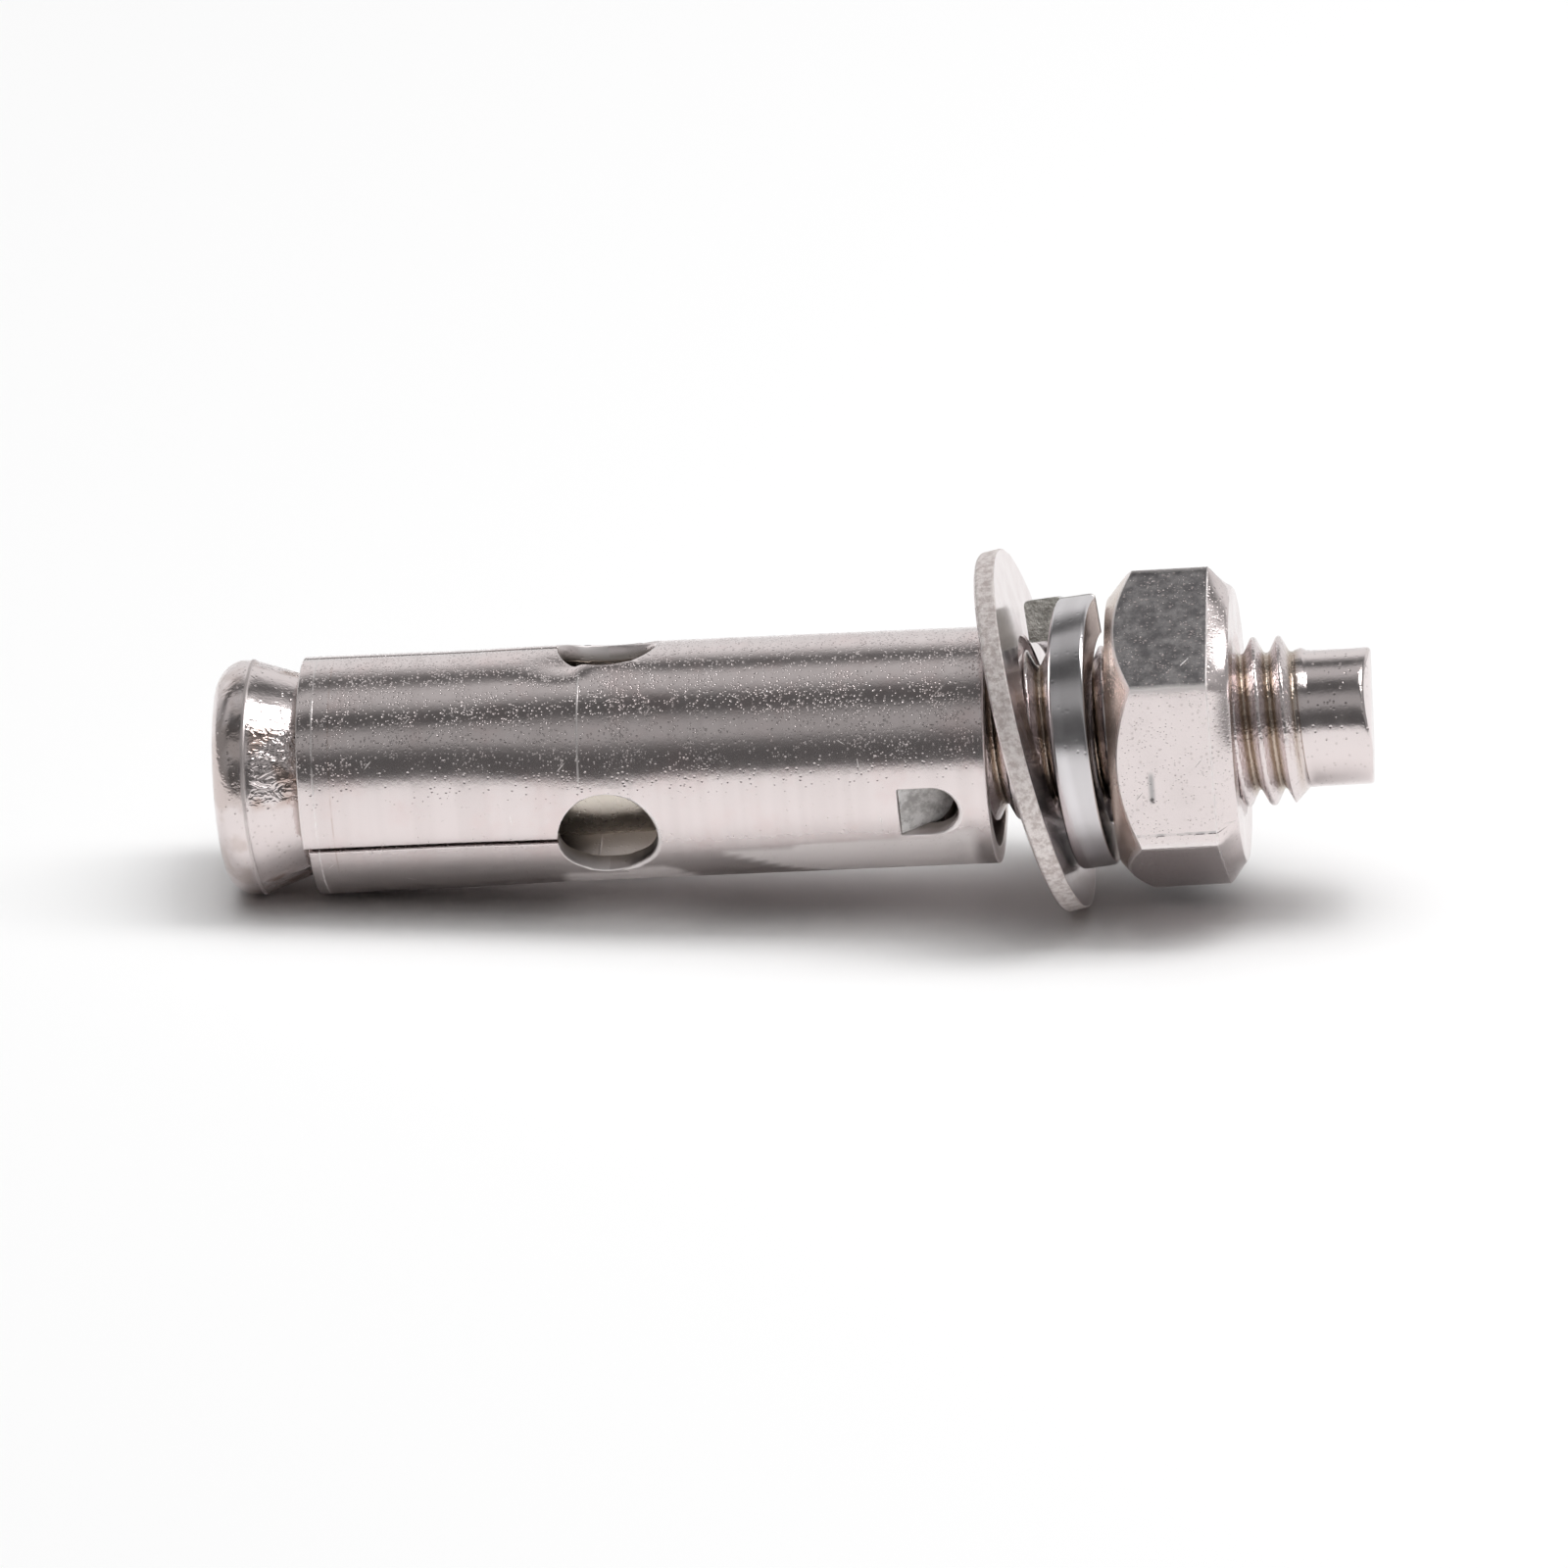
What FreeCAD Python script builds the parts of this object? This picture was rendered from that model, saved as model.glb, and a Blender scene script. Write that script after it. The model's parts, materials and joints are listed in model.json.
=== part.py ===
"""Sleeve expansion anchor bolt, M10 x 70, lying as it comes to rest on a flat surface.

Five loose-fitting pieces on one axis: a cone-headed stud, a rolled sheet sleeve with three slots
and a lanced tab, a flat washer that leans on the sleeve, a split spring washer and a hexagon nut.

Each piece is drawn along its own X axis and then placed. "Station" is the distance along the
stud's axis from the head's outer face. All lengths are in millimetres and angles in degrees.
The finished model stands on the plane Z = 0, with X from the cone head towards the pilot end.
"""

import FreeCAD
import Part
import math
import os
import Sketcher

Vector = FreeCAD.Vector
Rotation = FreeCAD.Rotation
Placement = FreeCAD.Placement

# Driving dimensions, one cell each in the document's spreadsheet.
SIZES = {
    # cone-headed stud, turned from one bar
    "stud_length": 68.86,
    "head_diameter": 13.95,
    "head_width": 2.67,
    "head_edge_radius": 1.78,
    "head_dome": 0.4,
    "cone_half_angle": 19.5,
    "thread_diameter": 10.0,
    "thread_length": 24.9,
    "thread_lead_in": 0.7,
    "shank_step": 0.5,
    "pilot_step": 0.97,
    "pilot_length": 4.1,
    "pilot_edge": 0.25,
    "shear_depth": 0.45,
    "shear_angle": 44.0,
    # expansion sleeve, rolled from sheet
    "mouth_clearance": 0.123,
    "sleeve_length": 40.8,
    "sleeve_clearance": 1.0,
    "sleeve_wall": 1.0,
    "sleeve_end_edge": 0.15,
    "finger_splay_height": 0.05,
    "crease_distance": 16.7,
    "finger_step_length": 0.3,
    "hole_distance": 18.08,
    "hole_diameter": 5.83,
    "slot_width": 0.25,
    "seam_width": 0.25,
    "slot_angle": -21.0,
    "window_length": 3.46,
    "window_end_distance": 1.88,
    "window_width": 3.26,
    "window_angle": 7.5,
    "tab_kerf": 0.1,
    "tab_thickness": 0.8,
    "sleeve_play": 0.1,
    # flat washer, stamped
    "washer_diameter": 21.88,
    "washer_clearance": 0.6,
    "washer_thickness": 1.28,
    "washer_bevel": 0.22,
    "washer_lean_angle": 11.2,
    "washer_gap": 0.23,
    "washer_rise": 0.2,
    # split spring washer, coiled from square wire
    "spring_clearance": 0.6,
    "spring_wire_height": 2.5,
    "spring_thickness": 2.27,
    "spring_edge": 0.3,
    "spring_pitch": 2.22,
    "spring_split": 0.75,
    "spring_angle": 105.0,
    "spring_lean_angle": 7.2,
    "spring_lean_side_angle": -117.6,
    "spring_gap": 0.15,
    "spring_drop": 0.15,
    # hexagon nut, forged
    "nut_across_flats": 17.0,
    "nut_height": 7.36,
    "nut_face_step": 0.64,
    "nut_chamfer_angle": 41.0,
    "nut_crown_step": 0.35,
    "nut_crown_height": 1.23,
    "nut_bore_clearance": 0.15,
    "nut_countersink_depth": 0.35,
    "nut_angle": 4.0,
    "nut_gap": 0.12,
    "nut_drop": 0.1,
}

FULL_TURN = 2 * math.pi
SLOT_COUNT = 3
NUT_SIDES = 6


class Size:
    """A length or angle that carries its number and the spreadsheet expression it comes from."""

    def __init__(self, number, text):
        self.number = number
        self.text = text

    @staticmethod
    def of(value):
        return value if isinstance(value, Size) else Size(float(value), repr(float(value)))

    def _join(self, other, sign, number):
        return Size(number, f"({self.text} {sign} {Size.of(other).text})")

    def __add__(self, other):
        return self._join(other, "+", self.number + Size.of(other).number)

    def __sub__(self, other):
        return self._join(other, "-", self.number - Size.of(other).number)

    def __mul__(self, other):
        return self._join(other, "*", self.number * Size.of(other).number)

    def __truediv__(self, other):
        return self._join(other, "/", self.number / Size.of(other).number)

    def __neg__(self):
        return Size(-self.number, f"(0 - {self.text})")

    def tan(self):
        return Size(math.tan(math.radians(self.number)), f"tan({self.text})")


doc = FreeCAD.newDocument("expansion_anchor")
sheet = doc.addObject("Spreadsheet::Sheet", "Sizes")
for row, (name, number) in enumerate(SIZES.items(), start=1):
    sheet.set(f"A{row}", name)
    sheet.set(f"B{row}", str(number))
    sheet.setAlias(f"B{row}", name)
doc.recompute()


def size(name):
    return Size(SIZES[name], f"Sizes.{name}")


def bind(feature, prop, value):
    """Tie a feature's property to its spreadsheet expression."""
    setattr(feature, prop, value.number)
    feature.setExpression(prop, value.text)


def new_body(label):
    body = doc.addObject("PartDesign::Body", label)
    body.Label = label
    return body


def new_sketch(body, name, plane, offset=None):
    """A sketch on one of the body's own origin planes, shifted or turned by offset."""
    support = [f for f in body.Origin.OriginFeatures if f.Role == plane][0]
    sketch = body.newObject("Sketcher::SketchObject", name)
    sketch.AttachmentSupport = [(support, "")]
    sketch.MapMode = "FlatFace"
    if offset is not None:
        sketch.AttachmentOffset = offset
    return sketch


def fix_point(sketch, geometry, end, x, y):
    """Hold a point of the sketch at x, y with dimensions bound to the spreadsheet."""
    for kind, value in (("DistanceX", x), ("DistanceY", y)):
        value = Size.of(value)
        index = sketch.addConstraint(Sketcher.Constraint(kind, -1, 1, geometry, end, value.number))
        if "Sizes." in value.text:
            sketch.setExpression(f"Constraints[{index}]", value.text)


def draw_outline(sketch, corners, arcs=None):
    """A closed outline through the corners. arcs maps an edge's number to (radius, centre side)."""
    arcs = arcs or {}
    count = len(corners)
    corners = [(Size.of(x), Size.of(y)) for x, y in corners]
    ends = []
    for i, (start, stop) in enumerate(zip(corners, corners[1:] + corners[:1])):
        a = Vector(start[0].number, start[1].number, 0)
        b = Vector(stop[0].number, stop[1].number, 0)
        if i in arcs:
            radius, side = arcs[i]
            edge, forward = arc_between(a, b, radius.number, side)
            sketch.addGeometry(edge, False)
            ends.append((1, 2) if forward else (2, 1))
        else:
            sketch.addGeometry(Part.LineSegment(a, b), False)
            ends.append((1, 2))
    for i in range(count):
        fix_point(sketch, i, ends[i][0], *corners[i])
    for i in range(count):
        follower = (i + 1) % count
        sketch.addConstraint(Sketcher.Constraint("Coincident", i, ends[i][1], follower, ends[follower][0]))
    for i, (radius, _) in arcs.items():
        index = sketch.addConstraint(Sketcher.Constraint("Radius", i, radius.number))
        sketch.setExpression(f"Constraints[{index}]", radius.text)


def arc_between(a, b, radius, side):
    """The shorter arc from a to b. side is +1 for a centre to the left of the way from a to b."""
    chord = b - a
    across = Vector(-chord.y, chord.x, 0).normalize()
    drop = math.sqrt(max(radius**2 - (chord.Length / 2) ** 2, 0.0))
    centre = (a + b) * 0.5 + across * (drop * side)
    first = math.atan2(a.y - centre.y, a.x - centre.x)
    last = math.atan2(b.y - centre.y, b.x - centre.x)
    forward = side > 0
    if not forward:
        first, last = last, first
    circle = Part.Circle(centre, Vector(0, 0, 1), radius)
    return Part.ArcOfCircle(circle, first, last), forward


def draw_circle(sketch, x, y, radius):
    x, y, radius = Size.of(x), Size.of(y), Size.of(radius)
    sketch.addGeometry(Part.Circle(Vector(x.number, y.number, 0), Vector(0, 0, 1), radius.number), False)
    fix_point(sketch, 0, 3, x, y)
    index = sketch.addConstraint(Sketcher.Constraint("Radius", 0, radius.number))
    sketch.setExpression(f"Constraints[{index}]", radius.text)


def turn_profile(body, kind, name, sketch, angle=360.0, reversed_turn=False):
    """Revolve or groove a sketch about its own horizontal axis, which is the body's X axis."""
    sketch.recompute()
    feature = body.newObject(kind, name)
    feature.Profile = (sketch, [""])
    feature.ReferenceAxis = (sketch, ["H_Axis"])
    feature.Angle = angle
    feature.Reversed = reversed_turn
    doc.recompute()
    return feature


def cut_outwards(body, name, sketch, depth):
    """Cut from the sketch plane along its normal, through one wall of a tube."""
    pocket = body.newObject("PartDesign::Pocket", name)
    pocket.Profile = (sketch, [""])
    pocket.Type = 0
    pocket.Reversed = True
    bind(pocket, "Length", depth)
    doc.recompute()
    return pocket


def about_x(angle):
    return Placement(Vector(0, 0, 0), Rotation(Vector(1, 0, 0), angle))


# Cone-headed stud: a domed flange with a rounded rim, a cone that runs down into the shank, the
# thread at its major diameter and a plain pilot whose end was sheared off and is slightly wavy.
stud = new_body("cone_stud")
head_radius = size("head_diameter") / 2
thread_radius = size("thread_diameter") / 2
shank_radius = thread_radius - size("shank_step")
pilot_radius = thread_radius - size("pilot_step")
cone_slope = size("cone_half_angle").tan()
cone_end = size("head_width") + (head_radius - shank_radius) / cone_slope
pilot_start = size("stud_length") - size("pilot_length")
thread_end = pilot_start - size("thread_lead_in")
thread_start = thread_end - size("thread_length")
rim_start = size("head_dome")
rim_ring = head_radius - size("head_edge_radius")
dome_radius = (rim_ring * rim_ring + rim_start * rim_start) / (rim_start * 2)

stud_profile = new_sketch(stud, "stud_profile", "XZ_Plane")
draw_outline(
    stud_profile,
    [
        (0, 0),
        (rim_start, rim_ring),
        (rim_start + size("head_edge_radius"), head_radius),
        (size("head_width"), head_radius),
        (cone_end, shank_radius),
        (thread_start, shank_radius),
        (thread_start + size("shank_step"), thread_radius),
        (thread_end, thread_radius),
        (pilot_start, pilot_radius),
        (size("stud_length") - size("pilot_edge"), pilot_radius),
        (size("stud_length"), pilot_radius - size("pilot_edge")),
        (size("stud_length"), 0),
    ],
    arcs={0: (dome_radius, -1), 1: (size("head_edge_radius"), -1)},
)
turn_profile(stud, "PartDesign::Revolution", "stud_turning", stud_profile)

# The shear leaves the pilot's end face lower at one side and slightly waved across: a short hollow
# at the lower side, then a swell three times as wide in the sweep of its arc.
SHEAR_REACH = 1.0
SHEAR_LIP = 0.1
SWELL = 3
end_face = size("stud_length")
crest_height = pilot_radius / 2
far_drop = size("shear_depth") / 2
shear_sketch = new_sketch(stud, "shear_line", "XZ_Plane")
draw_outline(
    shear_sketch,
    [
        (end_face - size("shear_depth"), pilot_radius + SHEAR_LIP),
        (end_face, crest_height),
        (end_face - far_drop, -pilot_radius),
        (end_face - far_drop, -(pilot_radius + SHEAR_REACH)),
        (end_face + SHEAR_REACH, -(pilot_radius + SHEAR_REACH)),
        (end_face + SHEAR_REACH, pilot_radius + SHEAR_LIP),
    ],
    arcs={0: (pilot_radius, -1), 1: (pilot_radius * SWELL, 1)},
)
shear = stud.newObject("PartDesign::Pocket", "sheared_end")
shear.Profile = (shear_sketch, [""])
shear.Type = 1
shear.Midplane = True
doc.recompute()

# Expansion sleeve: sheet rolled into a tube. The mouth rides on the cone; three slots end in round
# holes, and the third slot goes on past its hole as the seam where the rolled edges meet.
sleeve = new_body("expansion_sleeve")
inner = thread_radius + size("sleeve_clearance")
outer = inner + size("sleeve_wall")
sleeve_end = size("sleeve_length")
splay = size("finger_splay_height")
crease = size("crease_distance")
edge = size("sleeve_end_edge")

sleeve_profile = new_sketch(sleeve, "sleeve_wall_section", "XZ_Plane")
draw_outline(
    sleeve_profile,
    [
        (0, inner + splay),
        (0, outer + splay - edge),
        (edge, outer + splay),
        (crease, outer),
        (sleeve_end - edge, outer),
        (sleeve_end, outer - edge),
        (sleeve_end, inner),
        (crease, inner),
    ],
)
turn_profile(sleeve, "PartDesign::Revolution", "rolled_tube", sleeve_profile)

# One finger is a little shorter at the mouth than the other two.
CUT_MARGIN = 1.0
step_sketch = new_sketch(sleeve, "finger_step_section", "XZ_Plane")
draw_outline(
    step_sketch,
    [
        (-CUT_MARGIN, inner - CUT_MARGIN),
        (-CUT_MARGIN, outer + CUT_MARGIN),
        (size("finger_step_length"), outer + CUT_MARGIN),
        (size("finger_step_length"), inner - CUT_MARGIN),
    ],
)
finger_turn = math.degrees(FULL_TURN) / SLOT_COUNT
turn_profile(sleeve, "PartDesign::Groove", "short_finger", step_sketch, angle=finger_turn)

wall_reach = outer + splay + CUT_MARGIN
slot_half = size("slot_width") / 2
slot_sketch = new_sketch(sleeve, "slot_outline", "XY_Plane")
draw_outline(
    slot_sketch,
    [
        (-CUT_MARGIN, -slot_half),
        (size("hole_distance"), -slot_half),
        (size("hole_distance"), slot_half),
        (-CUT_MARGIN, slot_half),
    ],
)
slot = cut_outwards(sleeve, "slot", slot_sketch, wall_reach)

hole_sketch = new_sketch(sleeve, "hole_outline", "XY_Plane")
draw_circle(hole_sketch, size("hole_distance"), 0.0, size("hole_diameter") / 2)
hole = cut_outwards(sleeve, "slot_hole", hole_sketch, wall_reach)

slots = sleeve.newObject("PartDesign::PolarPattern", "slots_and_holes")
slots.Originals = [slot, hole]
slots.Axis = ([f for f in sleeve.Origin.OriginFeatures if f.Role == "X_Axis"][0], [""])
slots.Angle = 360.0
slots.Occurrences = SLOT_COUNT
sleeve.Tip = slots
doc.recompute()

seam_half = size("seam_width") / 2
seam_sketch = new_sketch(sleeve, "seam_outline", "XY_Plane", about_x(finger_turn))
draw_outline(
    seam_sketch,
    [
        (size("hole_distance"), -seam_half),
        (sleeve_end + CUT_MARGIN, -seam_half),
        (sleeve_end + CUT_MARGIN, seam_half),
        (size("hole_distance"), seam_half),
    ],
)
cut_outwards(sleeve, "rolled_seam", seam_sketch, wall_reach)


def d_shape(sketch, start, length, width):
    """A D outline: straight across at its start, round at its far end."""
    half = width / 2
    straight = start + length - half
    draw_outline(
        sketch,
        [
            (start, -half),
            (straight, -half),
            (start + length, 0),
            (straight, half),
            (start, half),
        ],
        arcs={1: (half, 1), 2: (half, 1)},
    )


# The tab was cut round three sides and pushed in until its tip bears on the stud.
window_turn = -size("window_angle").number
window_start = sleeve_end - size("window_end_distance") - size("window_length")
window_sketch = new_sketch(sleeve, "window_outline", "XY_Plane", about_x(window_turn))
d_shape(window_sketch, window_start, size("window_length"), size("window_width"))
cut_outwards(sleeve, "lanced_window", window_sketch, wall_reach)

play = size("sleeve_play").number
sleeve_tilt = math.asin((inner.number - thread_radius.number - play) / sleeve_end.number)
tab_length = size("window_length") - size("tab_kerf")
tab_width = size("window_width") - size("tab_kerf") * 2
half_tab = size("tab_thickness").number / 2
hinge_height = inner.number + half_tab - play
tip_distance = window_start.number + tab_length.number
tip_height = thread_radius.number + 2 * play - math.tan(sleeve_tilt) * tip_distance
tab_reach = math.hypot(tab_length.number, half_tab)
tab_bend = math.asin((hinge_height - tip_height) / tab_reach) - math.atan2(half_tab, tab_length.number)

tab_place = about_x(window_turn)
tab_place = tab_place * Placement(
    Vector(window_start.number, 0, hinge_height),
    Rotation(Vector(0, 1, 0), math.degrees(tab_bend)),
)
TAB_ROOT = 0.15
tab_sketch = new_sketch(sleeve, "tab_outline", "XY_Plane", tab_place)
d_shape(tab_sketch, Size.of(-TAB_ROOT), tab_length + TAB_ROOT, tab_width)
tab = sleeve.newObject("PartDesign::Pad", "bent_tab")
tab.Profile = (tab_sketch, [""])
tab.Midplane = True
bind(tab, "Length", size("tab_thickness"))
doc.recompute()

# Flat washer: stamped, with the die's bevel on one rim.
washer = new_body("flat_washer")
washer_radius = size("washer_diameter") / 2
washer_inside = thread_radius + size("washer_clearance")
half_washer = size("washer_thickness") / 2
bevel = size("washer_bevel")
washer_profile = new_sketch(washer, "washer_section", "XZ_Plane")
draw_outline(
    washer_profile,
    [
        (-half_washer, washer_inside),
        (-half_washer, washer_radius - bevel),
        (bevel - half_washer, washer_radius),
        (half_washer, washer_radius),
        (half_washer, washer_inside),
    ],
)
turn_profile(washer, "PartDesign::Revolution", "stamped_disc", washer_profile)

# Split spring washer: one left-hand turn of square wire with eased edges.
spring = new_body("spring_washer")
spring_inside = thread_radius + size("spring_clearance")
spring_outside = spring_inside + size("spring_wire_height")
ease = size("spring_edge")
wire = size("spring_thickness")
wire_sketch = new_sketch(spring, "wire_section", "XZ_Plane")
draw_outline(
    wire_sketch,
    [
        (0, spring_inside),
        (0, spring_outside - ease),
        (ease, spring_outside),
        (wire - ease, spring_outside),
        (wire, spring_outside - ease),
        (wire, spring_inside),
    ],
)
wire_sketch.recompute()
coil_turns = Size.of(1) - size("spring_split") / (spring_outside * FULL_TURN)
coil = spring.newObject("PartDesign::AdditiveHelix", "coiled_wire")
coil.Profile = (wire_sketch, [""])
coil.ReferenceAxis = (wire_sketch, ["H_Axis"])
coil.Mode = 0
bind(coil, "Pitch", size("spring_pitch"))
bind(coil, "Height", size("spring_pitch") * coil_turns)
coil.LeftHanded = True
doc.recompute()

# Hexagon nut: conical chamfer round the bearing side, and a crown that was forged from the hexagon
# to a circle on the outer side.
nut = new_body("hex_nut")
flats = size("nut_across_flats") / 2
corner_ratio = 1 / math.cos(math.pi / NUT_SIDES)
nut_corner = flats * corner_ratio
nut_height = size("nut_height")
crown = size("nut_crown_height")
prism_height = nut_height - crown


def at_station(x):
    """A sketch offset along the normal of the YZ plane, which is the body's X axis."""
    return Placement(Vector(0, 0, x), Rotation())


def round_points(radius, count):
    for i in range(count):
        turn = FULL_TURN * i / count
        yield radius * math.cos(turn), radius * math.sin(turn)


hex_sketch = new_sketch(nut, "hexagon", "YZ_Plane")
draw_outline(hex_sketch, list(round_points(nut_corner, NUT_SIDES)))
prism = nut.newObject("PartDesign::Pad", "hexagon_prism")
prism.Profile = (hex_sketch, [""])
bind(prism, "Length", prism_height)
doc.recompute()

crown_base = new_sketch(nut, "crown_base", "YZ_Plane", at_station(prism_height.number))
draw_outline(crown_base, list(round_points(nut_corner, NUT_SIDES)))
crown_top = new_sketch(nut, "crown_top", "YZ_Plane", at_station(nut_height.number))
crown_radius = flats - size("nut_crown_step")
draw_outline(
    crown_top,
    list(round_points(crown_radius, NUT_SIDES)),
    arcs={i: (crown_radius, 1) for i in range(NUT_SIDES)},
)
doc.recompute()
crown_loft = nut.newObject("PartDesign::AdditiveLoft", "forged_crown")
crown_loft.Profile = (crown_base, [""])
crown_loft.Sections = [(crown_top, [""])]
crown_loft.Ruled = True
doc.recompute()

chamfer_slope = size("nut_chamfer_angle").tan()
face_radius = flats - size("nut_face_step")
CHAMFER_REACH = 3.0
chamfer_sketch = new_sketch(nut, "chamfer_section", "XZ_Plane")
draw_outline(
    chamfer_sketch,
    [
        (0, face_radius),
        (chamfer_slope * CHAMFER_REACH, face_radius + CHAMFER_REACH),
        (-CUT_MARGIN, face_radius + CHAMFER_REACH),
        (-CUT_MARGIN, face_radius),
    ],
)
turn_profile(nut, "PartDesign::Groove", "bearing_chamfer", chamfer_sketch)

bore_radius = thread_radius + size("nut_bore_clearance")
sink_depth = size("nut_countersink_depth")
sink_radius = bore_radius + sink_depth
bore_sketch = new_sketch(nut, "bore_section", "XZ_Plane")
draw_outline(
    bore_sketch,
    [
        (-CUT_MARGIN, 0),
        (-CUT_MARGIN, sink_radius),
        (0, sink_radius),
        (sink_depth, bore_radius),
        (nut_height - sink_depth, bore_radius),
        (nut_height, sink_radius),
        (nut_height + CUT_MARGIN, sink_radius),
        (nut_height + CUT_MARGIN, 0),
    ],
)
turn_profile(nut, "PartDesign::Groove", "bore_and_countersinks", bore_sketch)

# Rest pose: the part lies on the head's rounded rim and on the leaning washer's rim, so the stud's
# axis climbs a little towards the pilot.
lean = math.radians(size("washer_lean_angle").number)
head_arc = size("head_edge_radius").number
hinge_rise = outer.number
mouth_inside = inner + splay - size("mouth_clearance")
mouth_station = (size("head_width") + (head_radius - mouth_inside) / cone_slope).number
hinge_station = mouth_station + sleeve_end.number + size("washer_gap").number
washer_rise = size("washer_rise").number
washer_station = hinge_station + half_washer.number / math.cos(lean)
washer_station += (hinge_rise - washer_rise) * math.tan(lean)
rim_radius = washer_radius.number
rim_half = half_washer.number - bevel.number


def head_rise(pitch):
    """Height of the axis at station 0 when the head's rounded rim touches the ground."""
    rim_middle = rim_start.number + head_arc
    return head_arc + rim_ring.number * math.cos(pitch) - rim_middle * math.sin(pitch)


PITCH_ROUNDS = 40


def rest_pitch():
    """Pitch of the axis at which the head's rim and the washer's rim both touch the ground."""
    pitch = 0.0
    for _ in range(PITCH_ROUNDS):
        tilt = pitch + lean
        rim_depth = rim_radius * math.cos(tilt) + rim_half * math.sin(tilt)
        climb = rim_depth - head_rise(pitch) - washer_rise * math.cos(pitch)
        pitch = math.asin(climb / washer_station)
    return pitch


pitch = rest_pitch()
pitch_turn = Placement(Vector(0, 0, 0), Rotation(Vector(0, 1, 0), -math.degrees(pitch)))
along = pitch_turn.multVec(Vector(1, 0, 0))
upright = pitch_turn.multVec(Vector(0, 0, 1))


def facing(turn):
    """Turn a piece about X so that its own Z axis points turn degrees above the -Y side."""
    return about_x(90.0 - turn)


# The stud is the longest piece, so X = 0 is half way between its ends as it lies.
stud_turned = pitch_turn * facing(size("shear_angle").number)
trial = stud.Shape.copy()
trial.Placement = stud_turned
reach = trial.optimalBoundingBox(False)
start_point = Vector(-(reach.XMin + reach.XMax) / 2, 0, head_rise(pitch))


def on_stud(station, rise=0.0):
    """A placement whose X axis lies on the stud's axis, or rise above it, at a station."""
    place = start_point + along * station + upright * rise
    return Placement(place, pitch_turn.Rotation)


def leaning(angle, turn):
    """Lean a piece by angle so that the side turn degrees above -Y moves towards +X."""
    side = math.radians(turn)
    hinge = Vector(0, math.sin(side), math.cos(side))
    return Placement(Vector(0, 0, 0), Rotation(hinge, angle))


stud.Placement = on_stud(0) * facing(size("shear_angle").number)

slot_turn = size("slot_angle").number
tab_turn = slot_turn + size("window_angle").number
sleeve.Placement = (
    on_stud(mouth_station)
    * leaning(-math.degrees(sleeve_tilt), tab_turn)
    * facing(slot_turn)
)

washer.Placement = on_stud(washer_station, washer_rise) * leaning(-math.degrees(lean), 90.0)

# The spring washer leans against the flat washer's low side, and the nut stands just clear of it.
spring_middle = (size("spring_pitch").number + wire.number) / 2
spring_lean = leaning(size("spring_lean_angle").number, size("spring_lean_side_angle").number)
spring_turned = spring_lean * facing(size("spring_angle").number)
spring_turned = spring_turned * Placement(Vector(-spring_middle, 0, 0), Rotation())

RIM_POINTS = 360


def wire_rim(face):
    """Points on the spring washer's outer edge, face 0 towards the head and 1 towards the nut."""
    for step in range(RIM_POINTS):
        turn = FULL_TURN * step / RIM_POINTS
        climb = size("spring_pitch").number * step / RIM_POINTS + wire.number * face
        rim = spring_outside.number
        yield spring_turned.multVec(Vector(climb, rim * math.sin(turn), rim * math.cos(turn)))


def washer_face(rise):
    """Station of the leaning washer's nut-side face at a height above the stud's axis."""
    middle = washer_station + half_washer.number / math.cos(lean)
    return middle - (rise - washer_rise) * math.tan(lean)


spring_station = size("spring_gap").number + max(washer_face(p.z) - p.x for p in wire_rim(0))
spring.Placement = on_stud(spring_station, -size("spring_drop").number) * spring_turned

nut_station = size("nut_gap").number + spring_station + max(p.x for p in wire_rim(1))
nut_drop = size("nut_drop").number
nut.Placement = on_stud(nut_station, -nut_drop) * facing(size("nut_angle").number)

doc.recompute()

BODIES = [stud, sleeve, washer, spring, nut]
for item in doc.Objects:
    if "Invalid" in item.State or "Error" in item.State:
        raise SystemExit(f"{item.Name} failed: {item.State}")

os.makedirs("parts", exist_ok=True)
for body in BODIES:
    shape = body.Shape
    if shape.isNull() or not shape.isValid() or len(shape.Solids) != 1:
        raise SystemExit(f"{body.Label} is not one valid solid")
    shape.exportStep(f"parts/{body.Label}.step")
    print(body.Label, f"{shape.Volume:.1f} mm3")


def show(label, point):
    print(label, f"{point.x:.6f} {point.y:.6f} {point.z:.6f}")


# Where the joints and the interfaces are, for whoever assembles or measures the model.
sleeve_middle = (crease.number + sleeve_end.number - edge.number) / 2
pilot_middle = (pilot_start.number + size("stud_length").number) / 2
show("stud_axis_point", start_point)
show("stud_axis", along)
show("washer_hinge", on_stud(hinge_station, hinge_rise).Base)
show("sleeve_axis", sleeve.Placement.Rotation.multVec(Vector(1, 0, 0)))
show("sleeve_middle", sleeve.Placement.multVec(Vector(sleeve_middle, 0, 0)))
show("pilot_middle", on_stud(pilot_middle).Base)
show("nut_middle", on_stud(nut_station + nut_height.number / 2, -nut_drop).Base)
print(f"axis climbs {math.degrees(pitch):.2f} degrees, sleeve leans {math.degrees(sleeve_tilt):.2f}")
print(f"stations: washer {washer_station:.2f}, spring {spring_station:.2f}, nut {nut_station:.2f}")
print(f"tab bends in {math.degrees(tab_bend):.1f} degrees")
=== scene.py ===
# %% [markdown]
# # A sleeve expansion anchor, lying on a white table
# The bolt has five loose pieces on one axis: a stud with a cone for a head, a sleeve rolled from
# sheet, a flat washer, a split spring washer and a hexagon nut. The imported frame says where each
# piece lies, so the first step loads it.

# %% Load the frame
import json
from contextlib import contextmanager
from math import asin, atan2, ceil, cos, exp, floor, hypot, pi, radians, sin, tan, tau

import bmesh
import bpy
from mathutils import Matrix, Vector, noise


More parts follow.
